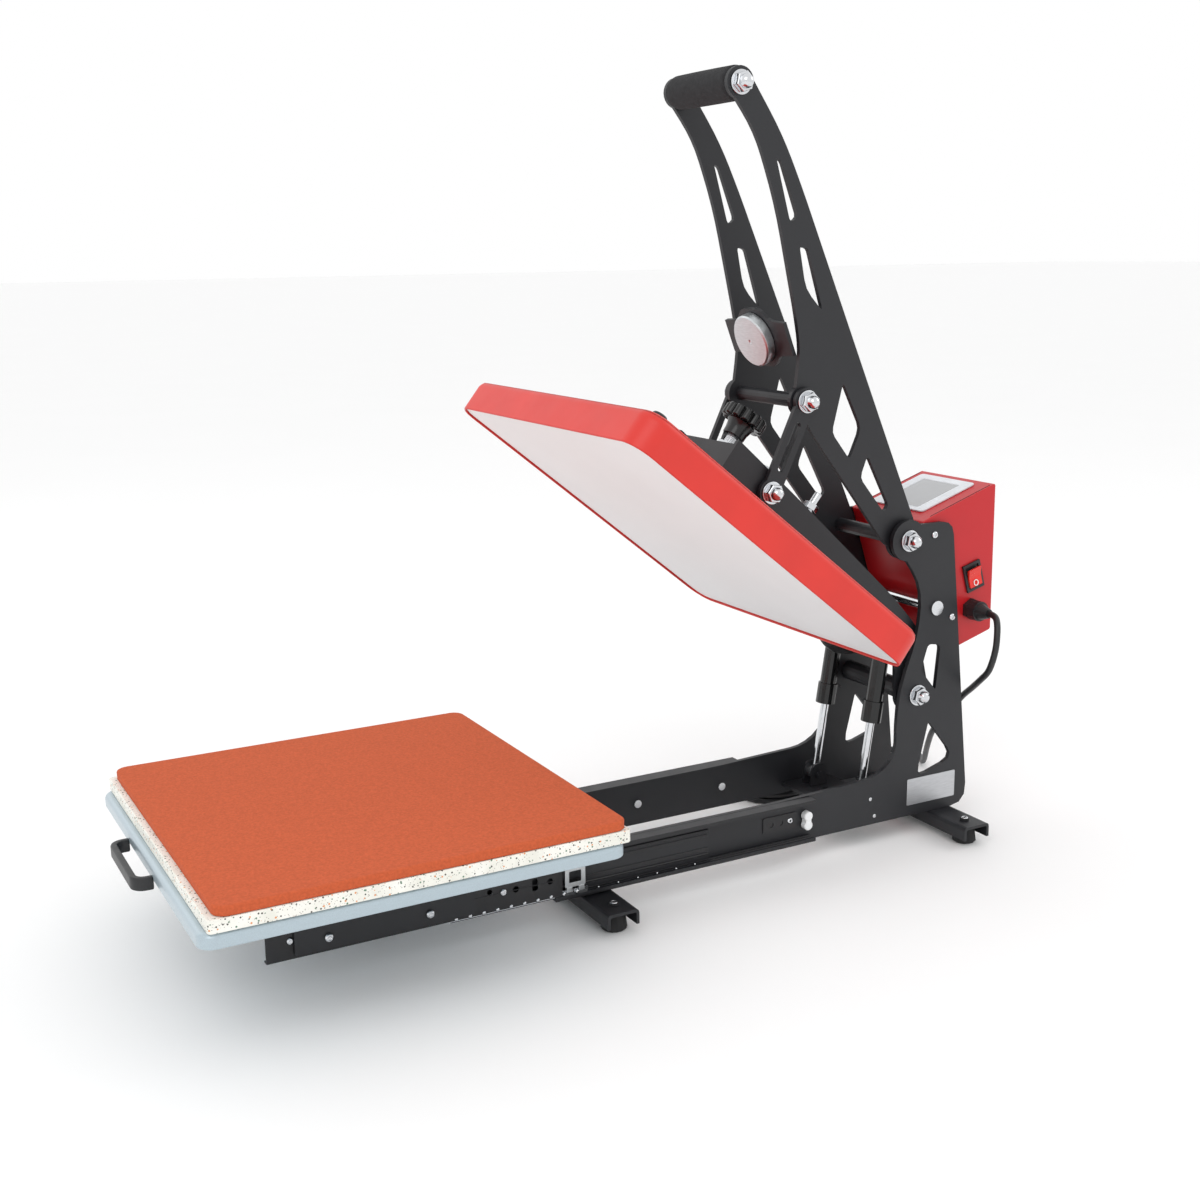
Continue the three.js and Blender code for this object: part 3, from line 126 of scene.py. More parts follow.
class Surface:
    """A principled material whose colour, roughness and relief are built from noise."""

    def __init__(self, name, color, roughness, metallic=0.0, **sockets):
        self.material = bpy.data.materials.new(name)
        self.material.use_nodes = True
        self.tree = self.material.node_tree
        self.shader = self.tree.nodes["Principled BSDF"]
        self.color = linear(*color)
        self.shader.inputs["Base Color"].default_value = self.color
        self.shader.inputs["Roughness"].default_value = roughness
        self.shader.inputs["Metallic"].default_value = metallic
        for socket, value in sockets.items():
            self.shader.inputs[socket.replace("_", " ")].default_value = value
        self.where = self.tree.nodes.new("ShaderNodeTexCoord").outputs["Object"]
        self.height = None

    def link(self, output, node, socket):
        self.tree.links.new(output, node.inputs[socket])

    def noise(self, size_mm, detail=3.0, stretch=(1, 1, 1)):
        """Noise whose blotches are about size_mm across, drawn out along the axes by stretch."""
        mapping = self.tree.nodes.new("ShaderNodeMapping")
        mapping.inputs["Scale"].default_value = [1 / s for s in stretch]
        self.link(self.where, mapping, "Vector")
        node = self.tree.nodes.new("ShaderNodeTexNoise")
        node.inputs["Scale"].default_value = 1 / (size_mm * MM)
        node.inputs["Detail"].default_value = detail
        self.link(mapping.outputs["Vector"], node, "Vector")
        return node.outputs["Fac"]

    def cells(self, size_mm, feature="F1", randomness=1.0):
        node = self.tree.nodes.new("ShaderNodeTexVoronoi")
        node.feature = feature
        node.inputs["Scale"].default_value = 1 / (size_mm * MM)
        node.inputs["Randomness"].default_value = randomness
        self.link(self.where, node, "Vector")
        return node

    def ramp(self, factor, low, high, first, last):
        node = self.tree.nodes.new("ShaderNodeValToRGB")
        node.color_ramp.elements[0].position = low
        node.color_ramp.elements[1].position = high
        node.color_ramp.elements[0].color = first
        node.color_ramp.elements[1].color = last
        self.link(factor, node, "Fac")
        return node.outputs["Color"]

    def mottle(self, size_mm, change, detail=3.0, stretch=(1, 1, 1)):
        """Base colour that wanders by a share of itself."""
        dark = tuple(c * (1 - change) for c in self.color[:3]) + (1,)
        light = tuple(min(1, c * (1 + change)) for c in self.color[:3]) + (1,)
        factor = self.noise(size_mm, detail, stretch)
        self.link(self.ramp(factor, 0.3, 0.7, dark, light), self.shader, "Base Color")
        return self

    def vary_roughness(self, size_mm, low, high, stretch=(1, 1, 1)):
        node = self.tree.nodes.new("ShaderNodeMapRange")
        node.inputs["To Min"].default_value = low
        node.inputs["To Max"].default_value = high
        self.link(self.noise(size_mm, 4.0, stretch), node, "Value")
        self.link(node.outputs["Result"], self.shader, "Roughness")
        return self

    def relief(self, factor, depth_mm, strength=0.6):
        bump = self.tree.nodes.new("ShaderNodeBump")
        bump.inputs["Distance"].default_value = depth_mm * MM
        bump.inputs["Strength"].default_value = strength
        self.link(factor, bump, "Height")
        if self.height:
            self.link(self.height, bump, "Normal")
        self.height = bump.outputs["Normal"]
        self.link(self.height, self.shader, "Normal")
        return self


def powder_coat(name, color, roughness, grain_mm=0.9, depth_mm=0.05):
    surface = Surface(name, color, roughness)
    surface.mottle(60, 0.05).vary_roughness(18, roughness - 0.06, roughness + 0.08)
    return surface.relief(surface.noise(grain_mm, 2.0), depth_mm, 0.5).material


def polished(name, color, roughness, grain_mm=6):
    surface = Surface(name, color, roughness, 1.0)
    surface.mottle(8, 0.04).vary_roughness(5, roughness * 0.7, roughness * 1.4)
    return surface.relief(surface.noise(grain_mm, 1.0), 0.004, 0.15).material


def moulded(name, color, roughness, grain_mm=0.5):
    surface = Surface(name, color, roughness)
    surface.mottle(25, 0.08).vary_roughness(9, roughness - 0.07, roughness + 0.07)
    return surface.relief(surface.noise(grain_mm, 2.0), 0.03, 0.4).material


def foam_rubber(name, color):
    surface = Surface(name, color, 0.93)
    surface.mottle(4, 0.25)
    return surface.relief(surface.cells(0.9).outputs["Distance"], 0.35, 0.8).material


def silicone_sponge():
    """Orange closed-cell sponge: fine skin pores on top, blotches of tone, a slight bloom."""
    surface = Surface("silicone_sponge", (196, 92, 56), 0.88, Specular_IOR_Level=0.25)
    surface.mottle(2.4, 0.12, detail=8.0)
    pores = surface.cells(1.6)
    surface.relief(surface.noise(2.2, 6.0), 0.5, 0.55)
    return surface.relief(pores.outputs["Distance"], 0.25, 0.5).material


def flecked_board():
    """White composite board with scattered dark, green and orange chips in it."""
    surface = Surface("flecked_board", (240, 239, 230), 0.62)
    color = surface.ramp(surface.noise(18, 4.0), 0.3, 0.7, linear(232, 231, 221), linear(246, 245, 238))
    chips = (
        (4.2, 0.16, (58, 56, 52)),
        (5.3, 0.13, (92, 128, 104)),
        (6.1, 0.12, (222, 150, 96)),
        (3.1, 0.13, (186, 184, 176)),
        (2.3, 0.12, (96, 92, 86)),
    )
    for size_mm, reach, chip in chips:
        distance = surface.cells(size_mm).outputs["Distance"]
        mix = surface.tree.nodes.new("ShaderNodeMix")
        mix.data_type = "RGBA"
        mask = surface.ramp(distance, reach, reach + 0.05, (1, 1, 1, 1), (0, 0, 0, 1))
        surface.link(mask, mix, "Factor")
        surface.tree.links.new(color, mix.inputs[6])
        mix.inputs[7].default_value = linear(*chip)
        color = mix.outputs[2]
    surface.link(color, surface.shader, "Base Color")
    return surface.relief(surface.noise(1.2, 4.0), 0.12, 0.5).material


def brushed(name, color, roughness, stretch):
    surface = Surface(name, color, roughness, 1.0)
    surface.mottle(1.2, 0.07, stretch=stretch).vary_roughness(1.0, roughness - 0.08, roughness + 0.1, stretch)
    return surface.relief(surface.noise(0.5, 2.0, stretch), 0.02, 0.35).material


def coated_sheet():
    """Smooth white coated sheet, faintly rippled."""
    surface = Surface("coated_sheet", (236, 236, 237), 0.42, Specular_IOR_Level=0.4)
    surface.mottle(90, 0.015)
    return surface.relief(surface.noise(45, 2.0), 0.25, 0.25).material


def metallic_paint(name, color, roughness):
    surface = Surface(name, color, roughness, 0.35, Coat_Weight=0.3, Coat_Roughness=0.25)
    surface.mottle(0.8, 0.06, detail=2.0)
    return surface.relief(surface.noise(1.4, 2.0), 0.04, 0.4).material


BLACK = powder_coat("black_powder_coat", (28, 29, 33), 0.46)
SLIDE_BLACK = powder_coat("black_slide_coat", (25, 25, 28), 0.34, 0.6, 0.03)
COVER_RED = powder_coat("cover_red", (214, 46, 36), 0.4, 1.4, 0.05)
BOX_RED = powder_coat("box_red", (190, 22, 30), 0.36, 1.4, 0.05)
CHROME = polished("bright_steel", (214, 216, 219), 0.13)
ZINC = brushed("zinc_plate", (204, 208, 210), 0.36, (6, 1, 1))
TRAY = metallic_paint("tray_paint", (176, 191, 199), 0.34)
PLASTIC = moulded("black_plastic", (32, 33, 35), 0.42)
HOSE = moulded("hose_plastic", (26, 27, 29), 0.5, 1.0)
GLOSS_BLACK = moulded("gloss_black", (16, 17, 18), 0.2)
RUBBER = moulded("black_rubber", (30, 30, 31), 0.8, 0.8)
FOAM = foam_rubber("black_foam", (38, 38, 40))
SPONGE = silicone_sponge()
BOARD = flecked_board()
SHEET = coated_sheet()
ALUMINIUM = brushed("cast_aluminium", (190, 192, 194), 0.45, (1, 8, 1))
WOOL = foam_rubber("wool_blanket", (204, 196, 176))
PANEL_PLASTIC = moulded("panel_plastic", (222, 225, 230), 0.3)
SCREEN = Surface("screen_glass", (150, 152, 155), 0.12, Coat_Weight=1.0, Coat_Roughness=0.04)
SCREEN = SCREEN.mottle(40, 0.03).material
ROCKER = moulded("rocker_red", (222, 38, 26), 0.25)
WHITE_PLASTIC = moulded("white_plastic", (232, 233, 234), 0.35)
LABEL = brushed("blank_label", (196, 198, 201), 0.38, (1, 9, 1))
GREEN_BOARD = moulded("circuit_board", (40, 104, 62), 0.5)
MARK = moulded("mark_white", (240, 240, 238), 0.4)


# ------------------------------------------------------------------ mesh tools
def add_object(name, bm):
    mesh = bpy.data.meshes.new(name)
    bmesh.ops.remove_doubles(bm, verts=bm.verts, dist=1e-5)
    bmesh.ops.recalc_face_normals(bm, faces=bm.faces)
    bm.to_mesh(mesh)
    bm.free()
    obj = bpy.data.objects.new(name, mesh)
    bpy.context.scene.collection.objects.link(obj)
    return obj


def loft(name, loops, caps=True, closed=False):
    """A skin over rings of points, all with the same count."""
    bm = bmesh.new()
    rings = [[bm.verts.new(point) for point in loop] for loop in loops]
    count = len(loops[0])
    pairs = list(zip(rings, rings[1:] + rings[:1])) if closed else list(zip(rings, rings[1:]))
    for lower, upper in pairs:
        for i in range(count):
            k = (i + 1) % count
            bm.faces.new((lower[i], lower[k], upper[k], upper[i]))
    if caps and not closed:
        bm.faces.new(list(reversed(rings[0])))
        bm.faces.new(rings[-1])
    return add_object(name, bm)


def rounded(corners, steps=6):
    """Points of a polygon of (y, z, radius) corners, each corner rounded off."""
    points = []
    count = len(corners)
    for i, (y, z, radius) in enumerate(corners):
        corner = Vector((y, z))
        before = Vector(corners[i - 1][:2]) - corner
        after = Vector(corners[(i + 1) % count][:2]) - corner
        reach = min(radius, before.length * 0.48, after.length * 0.48)
        if reach <= 0:
            points.append(corner)
            continue
        start = corner + before.normalized() * reach
        end = corner + after.normalized() * reach
        for k in range(steps + 1):
            t = k / steps
            points.append(start * (1 - t) ** 2 + corner * 2 * t * (1 - t) + end * t * t)
    return [(p.x, p.y) for p in points]


def soft_rectangle(a0, a1, b0, b1, radius):
    """A rectangle with round corners."""
    return rounded([(a0, b0, radius), (a1, b0, radius), (a1, b1, radius), (a0, b1, radius)])


def circle(radius, a=0.0, b=0.0, count=40):
    angles = [2 * math.pi * i / count for i in range(count)]
    return [(a + radius * math.cos(t), b + radius * math.sin(t)) for t in angles]


def plate_x(name, outline, x0, x1):
    return loft(name, [[(x, y, z) for y, z in outline] for x in (x0, x1)])


def slab_z(name, outline, z0, z1):
    return loft(name, [[(x, y, z) for x, y in outline] for z in (z0, z1)])


def turned(name, profile, axis="X", centre=(0, 0), count=40):
    """A lathe of (radius, along) pairs about X at (y, z), or about Z at (x, y)."""
    loops = []
    for radius, along in profile:
        ring = circle(max(radius, 0.01), *centre, count=count)
        loops.append([(along, a, b) if axis == "X" else (a, b, along) for a, b in ring])
    return loft(name, loops)


def bar_x(name, radius, x0, x1, y, z, edge=0.0, count=40):
    profile = [(radius - edge, x0), (radius, x0 + edge), (radius, x1 - edge), (radius - edge, x1)]
    if edge <= 0:
        profile = [(radius, x0), (radius, x1)]
    return turned(name, profile, "X", (y, z), count)


def box(name, x0, x1, y0, y1, z0, z1):
    return slab_z(name, [(x0, y0), (x1, y0), (x1, y1), (x0, y1)], z0, z1)


def rounded_box_rings(half_x, y0, y1, corner, steps):
    """Rings of a rounded rectangle, one for each (inset, height) step."""
    rings = []
    for inset, z in steps:
        radius = max(corner - inset, 0.5)
        x, low, high = half_x - inset, y0 + inset, y1 - inset
        ring = []
        for cx, cy, start in (
            (x - radius, high - radius, 0),
            (-x + radius, high - radius, 90),
            (-x + radius, low + radius, 180),
            (x - radius, low + radius, 270),
        ):
            for k in range(9):
                angle = math.radians(start + 90 * k / 8)
                ring.append((cx + radius * math.cos(angle), cy + radius * math.sin(angle), z))
        rings.append(ring)
    return rings


def edge_steps(z0, z1, low_radius, high_radius, count=5):
    """Insets and heights of a wall from z0 to z1 with both of its edges rounded."""
    steps = []
    for k in range(count + 1):
        angle = math.radians(90 * k / count)
        steps.append((low_radius * (1 - math.sin(angle)), z0 + low_radius * (1 - math.cos(angle))))
    for k in range(count + 1):
        angle = math.radians(90 * k / count)
        steps.append((high_radius * (1 - math.cos(angle)), z1 - high_radius * (1 - math.sin(angle))))
    return steps


def combine(base, tools, operation):
    """Joins tools to base, or cuts them out of it."""
    for tool in tools:
        modifier = base.modifiers.new("shape", "BOOLEAN")
        modifier.operation = operation
        modifier.solver = "EXACT"
        modifier.object = tool
    graph = bpy.context.evaluated_depsgraph_get()
    mesh = bpy.data.meshes.new_from_object(base.evaluated_get(graph))
    base.modifiers.clear()
    base.data = mesh
    for tool in tools:
        bpy.data.objects.remove(tool)
    return base


def union(base, *tools):
    return combine(base, tools, "UNION")


def carve(base, *tools):
    return combine(base, tools, "DIFFERENCE")


def merge(name, objects):
    """One object that holds several separate pieces of the same material."""
    bm = bmesh.new()
    for obj in objects:
        bm.from_mesh(obj.data)
        bpy.data.objects.remove(obj)
    mesh = bpy.data.meshes.new(name)
    bm.to_mesh(mesh)
    bm.free()
    merged = bpy.data.objects.new(name, mesh)
    bpy.context.scene.collection.objects.link(merged)
    return merged


def fit(obj, body, material, place=SHOP, bevel=0.5, stands_for=()):
    """Puts a finished piece in the row frame, on its body, with its material and soft edges."""
    obj.data.transform(place)
    obj.data.materials.clear()
    obj.data.materials.append(material)
    obj.data.shade_smooth()
    if bevel > 0:
        soft = obj.modifiers.new("edges", "BEVEL")
        soft.width = bevel * MM
        soft.segments = 2
        soft.limit_method = "ANGLE"
        soft.angle_limit = math.radians(32)
        soft.use_clamp_overlap = True
    normals = obj.modifiers.new("normals", "WEIGHTED_NORMAL")
    normals.keep_sharp = True
    if body:
        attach(obj, body)
    if stands_for:
        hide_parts(*stands_for)
    return obj


def mirrored(obj, name):
    """A left-hand copy of a right-hand piece."""
    mesh = obj.data.copy()
    mesh.transform(Matrix.Scale(-1, 4, (1, 0, 0)))
    mesh.flip_normals()
    copy = bpy.data.objects.new(name, mesh)
    bpy.context.scene.collection.objects.link(copy)
    return copy


def flipped(obj):
    """The piece itself, turned into its left-hand form."""
    obj.data.transform(Matrix.Scale(-1, 4, (1, 0, 0)))
    obj.data.flip_normals()
    return obj


# ------------------------------------------------------------------ mains cord
CORD_RADIUS = 3.5
CORD_REST = CORD_RADIUS + 0.2
# How much higher each layer of the coil lies, its turns pressed together a little.
LAYER_RISE = 2 * CORD_RADIUS * 0.98
CORD_ROUTE = [
    (88.1, 687, 246), (97, 686.5, 246), (105, 684, 244), (111.5, 680, 238),
    (115, 677, 228), (115.5, 675.5, 215), (112, 675, 200), (103, 677.5, 185.5),
    (89, 680.5, 173), (70, 686, 158.5), (50, 691, 143.5), (24, 697, 120),
    (-2, 704, 97), (-24, 713, 77), (-46, 727, 56), (-68, 743, 36),
    (-88, 758, 18), (-105, 770, 7), (-122, 782, CORD_REST), (-138, 789, CORD_REST),
    (-153, 787, CORD_REST), (-165, 777, CORD_REST), (-171, 760, CORD_REST),
    (-172, 738, CORD_REST), (-171.5, 710, CORD_REST), (-171, 680, CORD_REST),
    (-170.6, 650, CORD_REST), (-170.5, 620, CORD_REST), (-170.5, 595, CORD_REST),
]
COIL_CENTRE = (-128, 555)
COIL_RADIUS = 39
PLUG_BACK = COIL_CENTRE[1] - 78
PLUG_HEIGHT = 10


def coil_points():
    """Six turns beside and on each other: out and in again, a layer at a time."""
    points = []
    for layer in range(3):
        for turn in range(2):
            outside = (turn == 0) == (layer % 2 == 0)
            for k in range(16):
                share = k / 16
                radius = COIL_RADIUS + (CORD_RADIUS if outside else -CORD_RADIUS)
                if turn == 0 and k >= 12:
                    other = COIL_RADIUS + (-CORD_RADIUS if outside else CORD_RADIUS)
                    radius += (other - radius) * (k - 11) / 5
                z = CORD_REST + layer * LAYER_RISE
                if turn == 1 and layer < 2 and k >= 11:
                    z += LAYER_RISE * (k - 10) / 6
                angle = math.pi + 2 * math.pi * share
                points.append(
                    (
                        COIL_CENTRE[0] + radius * math.cos(angle),
                        COIL_CENTRE[1] + radius * math.sin(angle),
                        z,
                    )
                )
    return points


def sweep(name, points, radius, count=16, closed_ends=True):
    """A round tube along a smooth line through points."""
    line = smooth_line(points)
    rings = []
    normal = Vector((0, 0, 1))
    for i, point in enumerate(line):
        ahead = line[min(i + 1, len(line) - 1)]
        behind = line[max(i - 1, 0)]
        along = (ahead - behind).normalized()
        normal = (normal - along * normal.dot(along)).normalized()
        side = along.cross(normal)
        size = radius(i) if callable(radius) else radius
        rings.append(
            [
                tuple(point + (normal * math.cos(t) + side * math.sin(t)) * size)
                for t in (2 * math.pi * k / count for k in range(count))
            ]
        )
    return loft(name, rings, caps=closed_ends)


def smooth_line(points, step=2.2):
    """A Catmull-Rom line through the points, with a point every step."""
    line = []
    knots = [Vector(p) for p in points]
    for i in range(len(knots) - 1):
        a = knots[max(i - 1, 0)]
        b = knots[i]
        c = knots[i + 1]
        d = knots[min(i + 2, len(knots) - 1)]
        parts = max(2, round((c - b).length / step))
        for k in range(parts):
            t = k / parts
            line.append(
                0.5
                * (
                    2 * b
                    + (c - a) * t
                    + (2 * a - 5 * b + 4 * c - d) * t * t
                    + (3 * b - a - 3 * c + d) * t**3
                )
            )
    line.append(knots[-1])
    return line


def make_cord():
    tail_x = COIL_CENTRE[0] - COIL_RADIUS - CORD_RADIUS
    top = CORD_REST + 2 * LAYER_RISE
    tail = [
        (tail_x + 7, COIL_CENTRE[1] - 8, top),
        (tail_x + 3, COIL_CENTRE[1] - 24, top),
        (tail_x + 0.5, COIL_CENTRE[1] - 40, top - 3),
        (tail_x, COIL_CENTRE[1] - 56, PLUG_HEIGHT + 2),
        (tail_x, COIL_CENTRE[1] - 68, PLUG_HEIGHT + 0.4),
        (tail_x, PLUG_BACK + 1, PLUG_HEIGHT),
    ]
    route = CORD_ROUTE + coil_points() + tail
    cord = sweep("mains_cord", route, CORD_RADIUS)
    fit(cord, "frame", PLASTIC, bevel=0, stands_for=("power_cord", "cord_coil", "cord_tail"))


make_cord()


# ------------------------------------------------------------------ fasteners
NUT_FLATS = 17
GRIP = Vector((0, 385.0, 785.2))
# The outer faces that the nuts stand on.
PLATE_FACE = 67.35
LINK_FACE = 64.35
ARM_FACE = 57.85


def hexagon(across_flats, a, b, turn=0.0):
    radius = across_flats / math.sqrt(3)
    angles = [math.radians(60 * i) + turn for i in range(6)]
    return [(a + radius * math.cos(t), b + radius * math.sin(t)) for t in angles]


def nut_stack(name, face, y, z, size=1.0):
    """A washer, a chamfered hexagon nut and a polished dome, standing on a face at x = face."""
    washer = turned(
        name + "_washer",
        [(11.2 * size, face), (11.5 * size, face + 0.4), (11.5 * size, face + 1.4), (11.1 * size, face + 1.8)],
        "X", (y, z), 48,
    )
    flats = NUT_FLATS * size
    base = face + 1.8
    steps = ((0.93, base), (1.0, base + 0.8), (1.0, base + 6.2 * size), (0.92, base + 7 * size))
    nut = loft(
        name + "_nut",
        [[(x, a, b) for a, b in hexagon(flats * share, y, z, 0.3)] for share, x in steps],
    )
    top = base + 7 * size
    dome = turned(
        name + "_dome",
        [(6.9 * size, top - 0.2), (6.8 * size, top + 0.8)]
        + [
            (6.6 * size * math.cos(math.radians(a)), top + 1.4 + 6.0 * size * math.sin(math.radians(a)))
            for a in range(0, 91, 10)
        ],
        "X", (y, z), 40,
    )
    return merge(name, [washer, nut, dome])


def pan_screw(name, face, y, z, radius=4.0, height=2.2):
    """A domed screw head with a socket in it."""
    return turned(
        name,
        [
            (radius * 0.96, face), (radius, face + height * 0.3), (radius * 0.82, face + height * 0.8),
            (radius * 0.55, face + height), (radius * 0.42, face + height),
            (radius * 0.40, face + height * 0.45),
        ],
        "X", (y, z), 28,
    )


def screw_pair(name, body, face, y, z, radius=4.0, height=2.2):
    right = pan_screw(name + "_right", face, y, z, radius, height)
    left = mirrored(right, name + "_left")
    for obj in (right, left):
        fit(obj, body, CHROME, bevel=0)


def nutted_axle(name, body, face, y, z, stands_for=()):
    """A steel axle with a washer, a nut and a dome at each end."""
    right = nut_stack(name + "_right", face, y, z)
    left = mirrored(right, name + "_left")
    shaft = bar_x(name + "_shaft", 5.9, -face - 1, face + 1, y, z)
    axle = merge(name, [right, left, shaft])
    fit(axle, body, CHROME, bevel=0.25, stands_for=stands_for)


nutted_axle("handle_axle_set", "frame", PLATE_FACE, HANDLE_PIVOT.y, HANDLE_PIVOT.z, ("handle_axle",))
nutted_axle("head_axle_set", "frame", PLATE_FACE, HEAD_PIVOT.y, HEAD_PIVOT.z, ("head_axle",))
nutted_axle("link_bolt_set", "links", LINK_FACE, LINK_TOP.y, LINK_TOP.z, ("link_bolt",))
nutted_axle("grip_bolt_set", "handle", ARM_FACE, GRIP.y, GRIP.z, ("grip_bolt",))


def toggle_link():
    """A flat link with round eyes, a long slot and a bore at its upper eye."""
    bar = plate_x("bar", [(-10.5, 0), (10.5, 0), (10.5, -LINK_LENGTH), (-10.5, -LINK_LENGTH)], 59, 64)
    eyes = [bar_x("eye", 14, 59, 64, 0, z) for z in (0, -LINK_LENGTH)]
    plate = union(bar, *eyes)
    middle = -LINK_LENGTH / 2
    slot = plate_x("slot", soft_rectangle(-3.5, 3.5, middle - 26, middle + 26, 3.5), 50, 70)
    bore = bar_x("bore", 6.2, 50, 70, 0, 0)
    return carve(plate, slot, bore)


def make_links():
    for side in ("right", "left"):
        plate = toggle_link()
        nut = nut_stack("lower_nut", 64.05, 0, -LINK_LENGTH)
        if side == "left":
            plate, nut = flipped(plate), flipped(nut)
        plate.name = f"link_plate_{side}"
        nut.name = f"link_nut_{side}"
        fit(plate, "links", BLACK, LINKS, 0.5, (f"toggle_link_{side}",))
        fit(nut, "links", CHROME, LINKS, 0.25, ())


make_links()
screw_pair("plate_screw_top", "frame", 67.0, 628, 335)
screw_pair("plate_screw_middle", "frame", 67.0, 633, 255)
screw_pair("plate_screw_lower", "frame", 67.0, 656, 242)


# ------------------------------------------------------------------ head
HEAD_FRONT = -523.2
HEAD_REAR = -135.2
HEAD_LOW = -15.8
HEAD_TOP = 20.7
KNOB_Y = -331.7


def make_cover():
    """A pressed cover: soft upper edge, round corners, a folded lip underneath."""
    steps = [(2.2, HEAD_TOP - 2.5), (2.2, HEAD_LOW + 0.8), (1.6, HEAD_LOW), (0.6, HEAD_LOW)]
    steps += edge_steps(HEAD_LOW + 0.6, HEAD_TOP, 0.5, 9.0, 8)
    steps += [(16, HEAD_TOP), (60, HEAD_TOP)]
    cover = loft("cover_shell", rounded_box_rings(188, HEAD_FRONT, HEAD_REAR, 24, steps))
    fit(cover, "head", COVER_RED, HEAD, 0, ("head_cover",))


def make_cap():
    cap = turned(
        "cover_cap",
        [(9, 20.8), (9.4, 21.6), (9.4, 23.0), (7.6, 23.4), (7.4, 27.2), (6.2, 28.6), (0.1, 28.9)],
        "Z", (150, -496),
    )
    fit(cap, "head", PLASTIC, HEAD, 0.3, ())


def make_guide_bolt():
    """A bright guide bolt with its nut, standing on the carrier behind the magnet."""
    shaft = turned("guide_bolt_shaft", [(4.2, 60), (4.2, 103), (3.4, 104)], "Z", (40, -232), 28)
    nut = slab_z("guide_bolt_nut", hexagon(14, 40, -232), 84, 91)
    disc = turned("guide_bolt_disc", [(8.5, 78), (9, 78.6), (9, 80.4), (8.5, 81)], "Z", (40, -232), 32)
    fit(merge("guide_bolt", [shaft, nut, disc]), "head", CHROME, HEAD, 0.4, ())


def star_outline(radius, depth, teeth, inset=0.0):
    """Round lobes with narrow valleys between them."""
    points = []
    count = teeth * 10
    for i in range(count):
        angle = 2 * math.pi * i / count
        lobe = abs(math.cos(teeth * angle / 2)) ** 0.55
        size = radius - depth * (1 - lobe) - inset
        points.append((size * math.cos(angle), KNOB_Y + size * math.sin(angle)))
    return points


def make_knob():
    steps = ((2.2, 116.6), (0.8, 117.2), (0, 118.4), (0, 128.2), (0.9, 129.6), (2.6, 130.0))
    wheel = loft(
        "knob_wheel",
        [[(a, b, z) for a, b in star_outline(23.5, 4.2, 12, inset)] for inset, z in steps],
    )
    hub = turned(
        "knob_hub",
        [(9.0, 100.2), (11.4, 100.8), (12, 102), (12.2, 108), (13.6, 113), (15.5, 116.7)],
        "Z", (0, KNOB_Y), 48,
    )
    rim = turned(
        "knob_rim", [(15.2, 129.8), (15, 131.0), (13.6, 131.0), (13.2, 130.2), (0.1, 130.2)],
        "Z", (0, KNOB_Y), 48,
    )
    knob = merge("knob_shell", [wheel, hub, rim])
    fit(knob, "pressure_knob", GLOSS_BLACK, HEAD, 0.3, ("pressure_knob",))


def make_threads():
    """The bright screw under the knob, with its thread and lock nut."""
    profile = []
    z = 84.0
    while z < 100.0:
        profile += [(6.3, z), (5.6, z + 0.7)]
        z += 1.4
    thread = turned("screw_thread", profile, "Z", (0, KNOB_Y), 32)
    nut = slab_z("screw_nut", hexagon(19, 0, KNOB_Y, 0.25), 86.6, 91.6)
    fit(merge("threaded_screw", [thread, nut]), "head", CHROME, HEAD, 0.3, ())


make_cover()
make_cap()
make_guide_bolt()
make_knob()
make_threads()


# ------------------------------------------------------------------ lower platen
def make_pad():
    """A sponge pad: slightly crowned, its cut sides a little rough."""
    steps = [(0.5, 134.35), (0, 134.9), (0.25, 136.5), (0.1, 139), (0.0, 141.2), (0.5, 142.4)]
    steps += [(1.4, 142.85), (4, 143.0), (30, 143.0), (110, 142.95)]
    pad = loft("sponge_pad", rounded_box_rings(190, -184, 184, 12, steps))
    fit(pad, "drawer", SPONGE, SHOP, 0, ("silicone_pad",))


def make_board():
    board = loft("flecked_slab", rounded_box_rings(191, -190, 186, 4, edge_steps(122.35, 133.9, 0.6, 0.8)))
    fit(board, "drawer", BOARD, SHOP, 0, ("platen_board",))


def make_tray():
    """A pressed steel tray with rolled edges, its underside open."""
    steps = [(3.0, 119.5), (2.6, 110.5), (2.0, 109.0)]
    steps += edge_steps(108.9, 121.9, 1.2, 5.5, 7)
    steps += [(12, 121.95)]
    tray = loft("pressed_tray", rounded_box_rings(191, -197, 183, 14, steps))
    fit(tray, "drawer", TRAY, SHOP, 0, ("platen_tray",))


def arc(centre_x, centre_y, radius, start, end, steps=8):
    angles = [math.radians(start + (end - start) * k / steps) for k in range(steps + 1)]
    return [(centre_x + radius * math.cos(t), centre_y + radius * math.sin(t)) for t in angles]


def make_pull():
    """A flat bar bent into a hoop."""
    left, right, front, root = -73.5, 30.5, -215, -196.5
    bar, corner = 6, 13
    small = corner - bar
    near = front + corner
    outer = [(left, root), *arc(left + corner, near, corner, 180, 270)]
    outer += [*arc(right - corner, near, corner, 270, 360), (right, root)]
    inner = [(right - bar, root), *arc(right - corner, near, small, 360, 270)]
    inner += [*arc(left + corner, near, small, 270, 180), (left + bar, root)]
    hoop = slab_z("pull_hoop", outer + inner, 100.9, 113.2)
    fit(hoop, "drawer", PLASTIC, SHOP, 1.6, ("drawer_pull",))


make_pad()
make_board()
make_tray()
make_pull()


# ------------------------------------------------------------------ drawer slides
def ball(name, radius, x, y, z):
    profile = [
        (radius * math.cos(math.radians(a)), x + radius * math.sin(math.radians(a)))
        for a in range(-80, 81, 20)
    ]
    return turned(name, profile, "X", (y, z), 14)


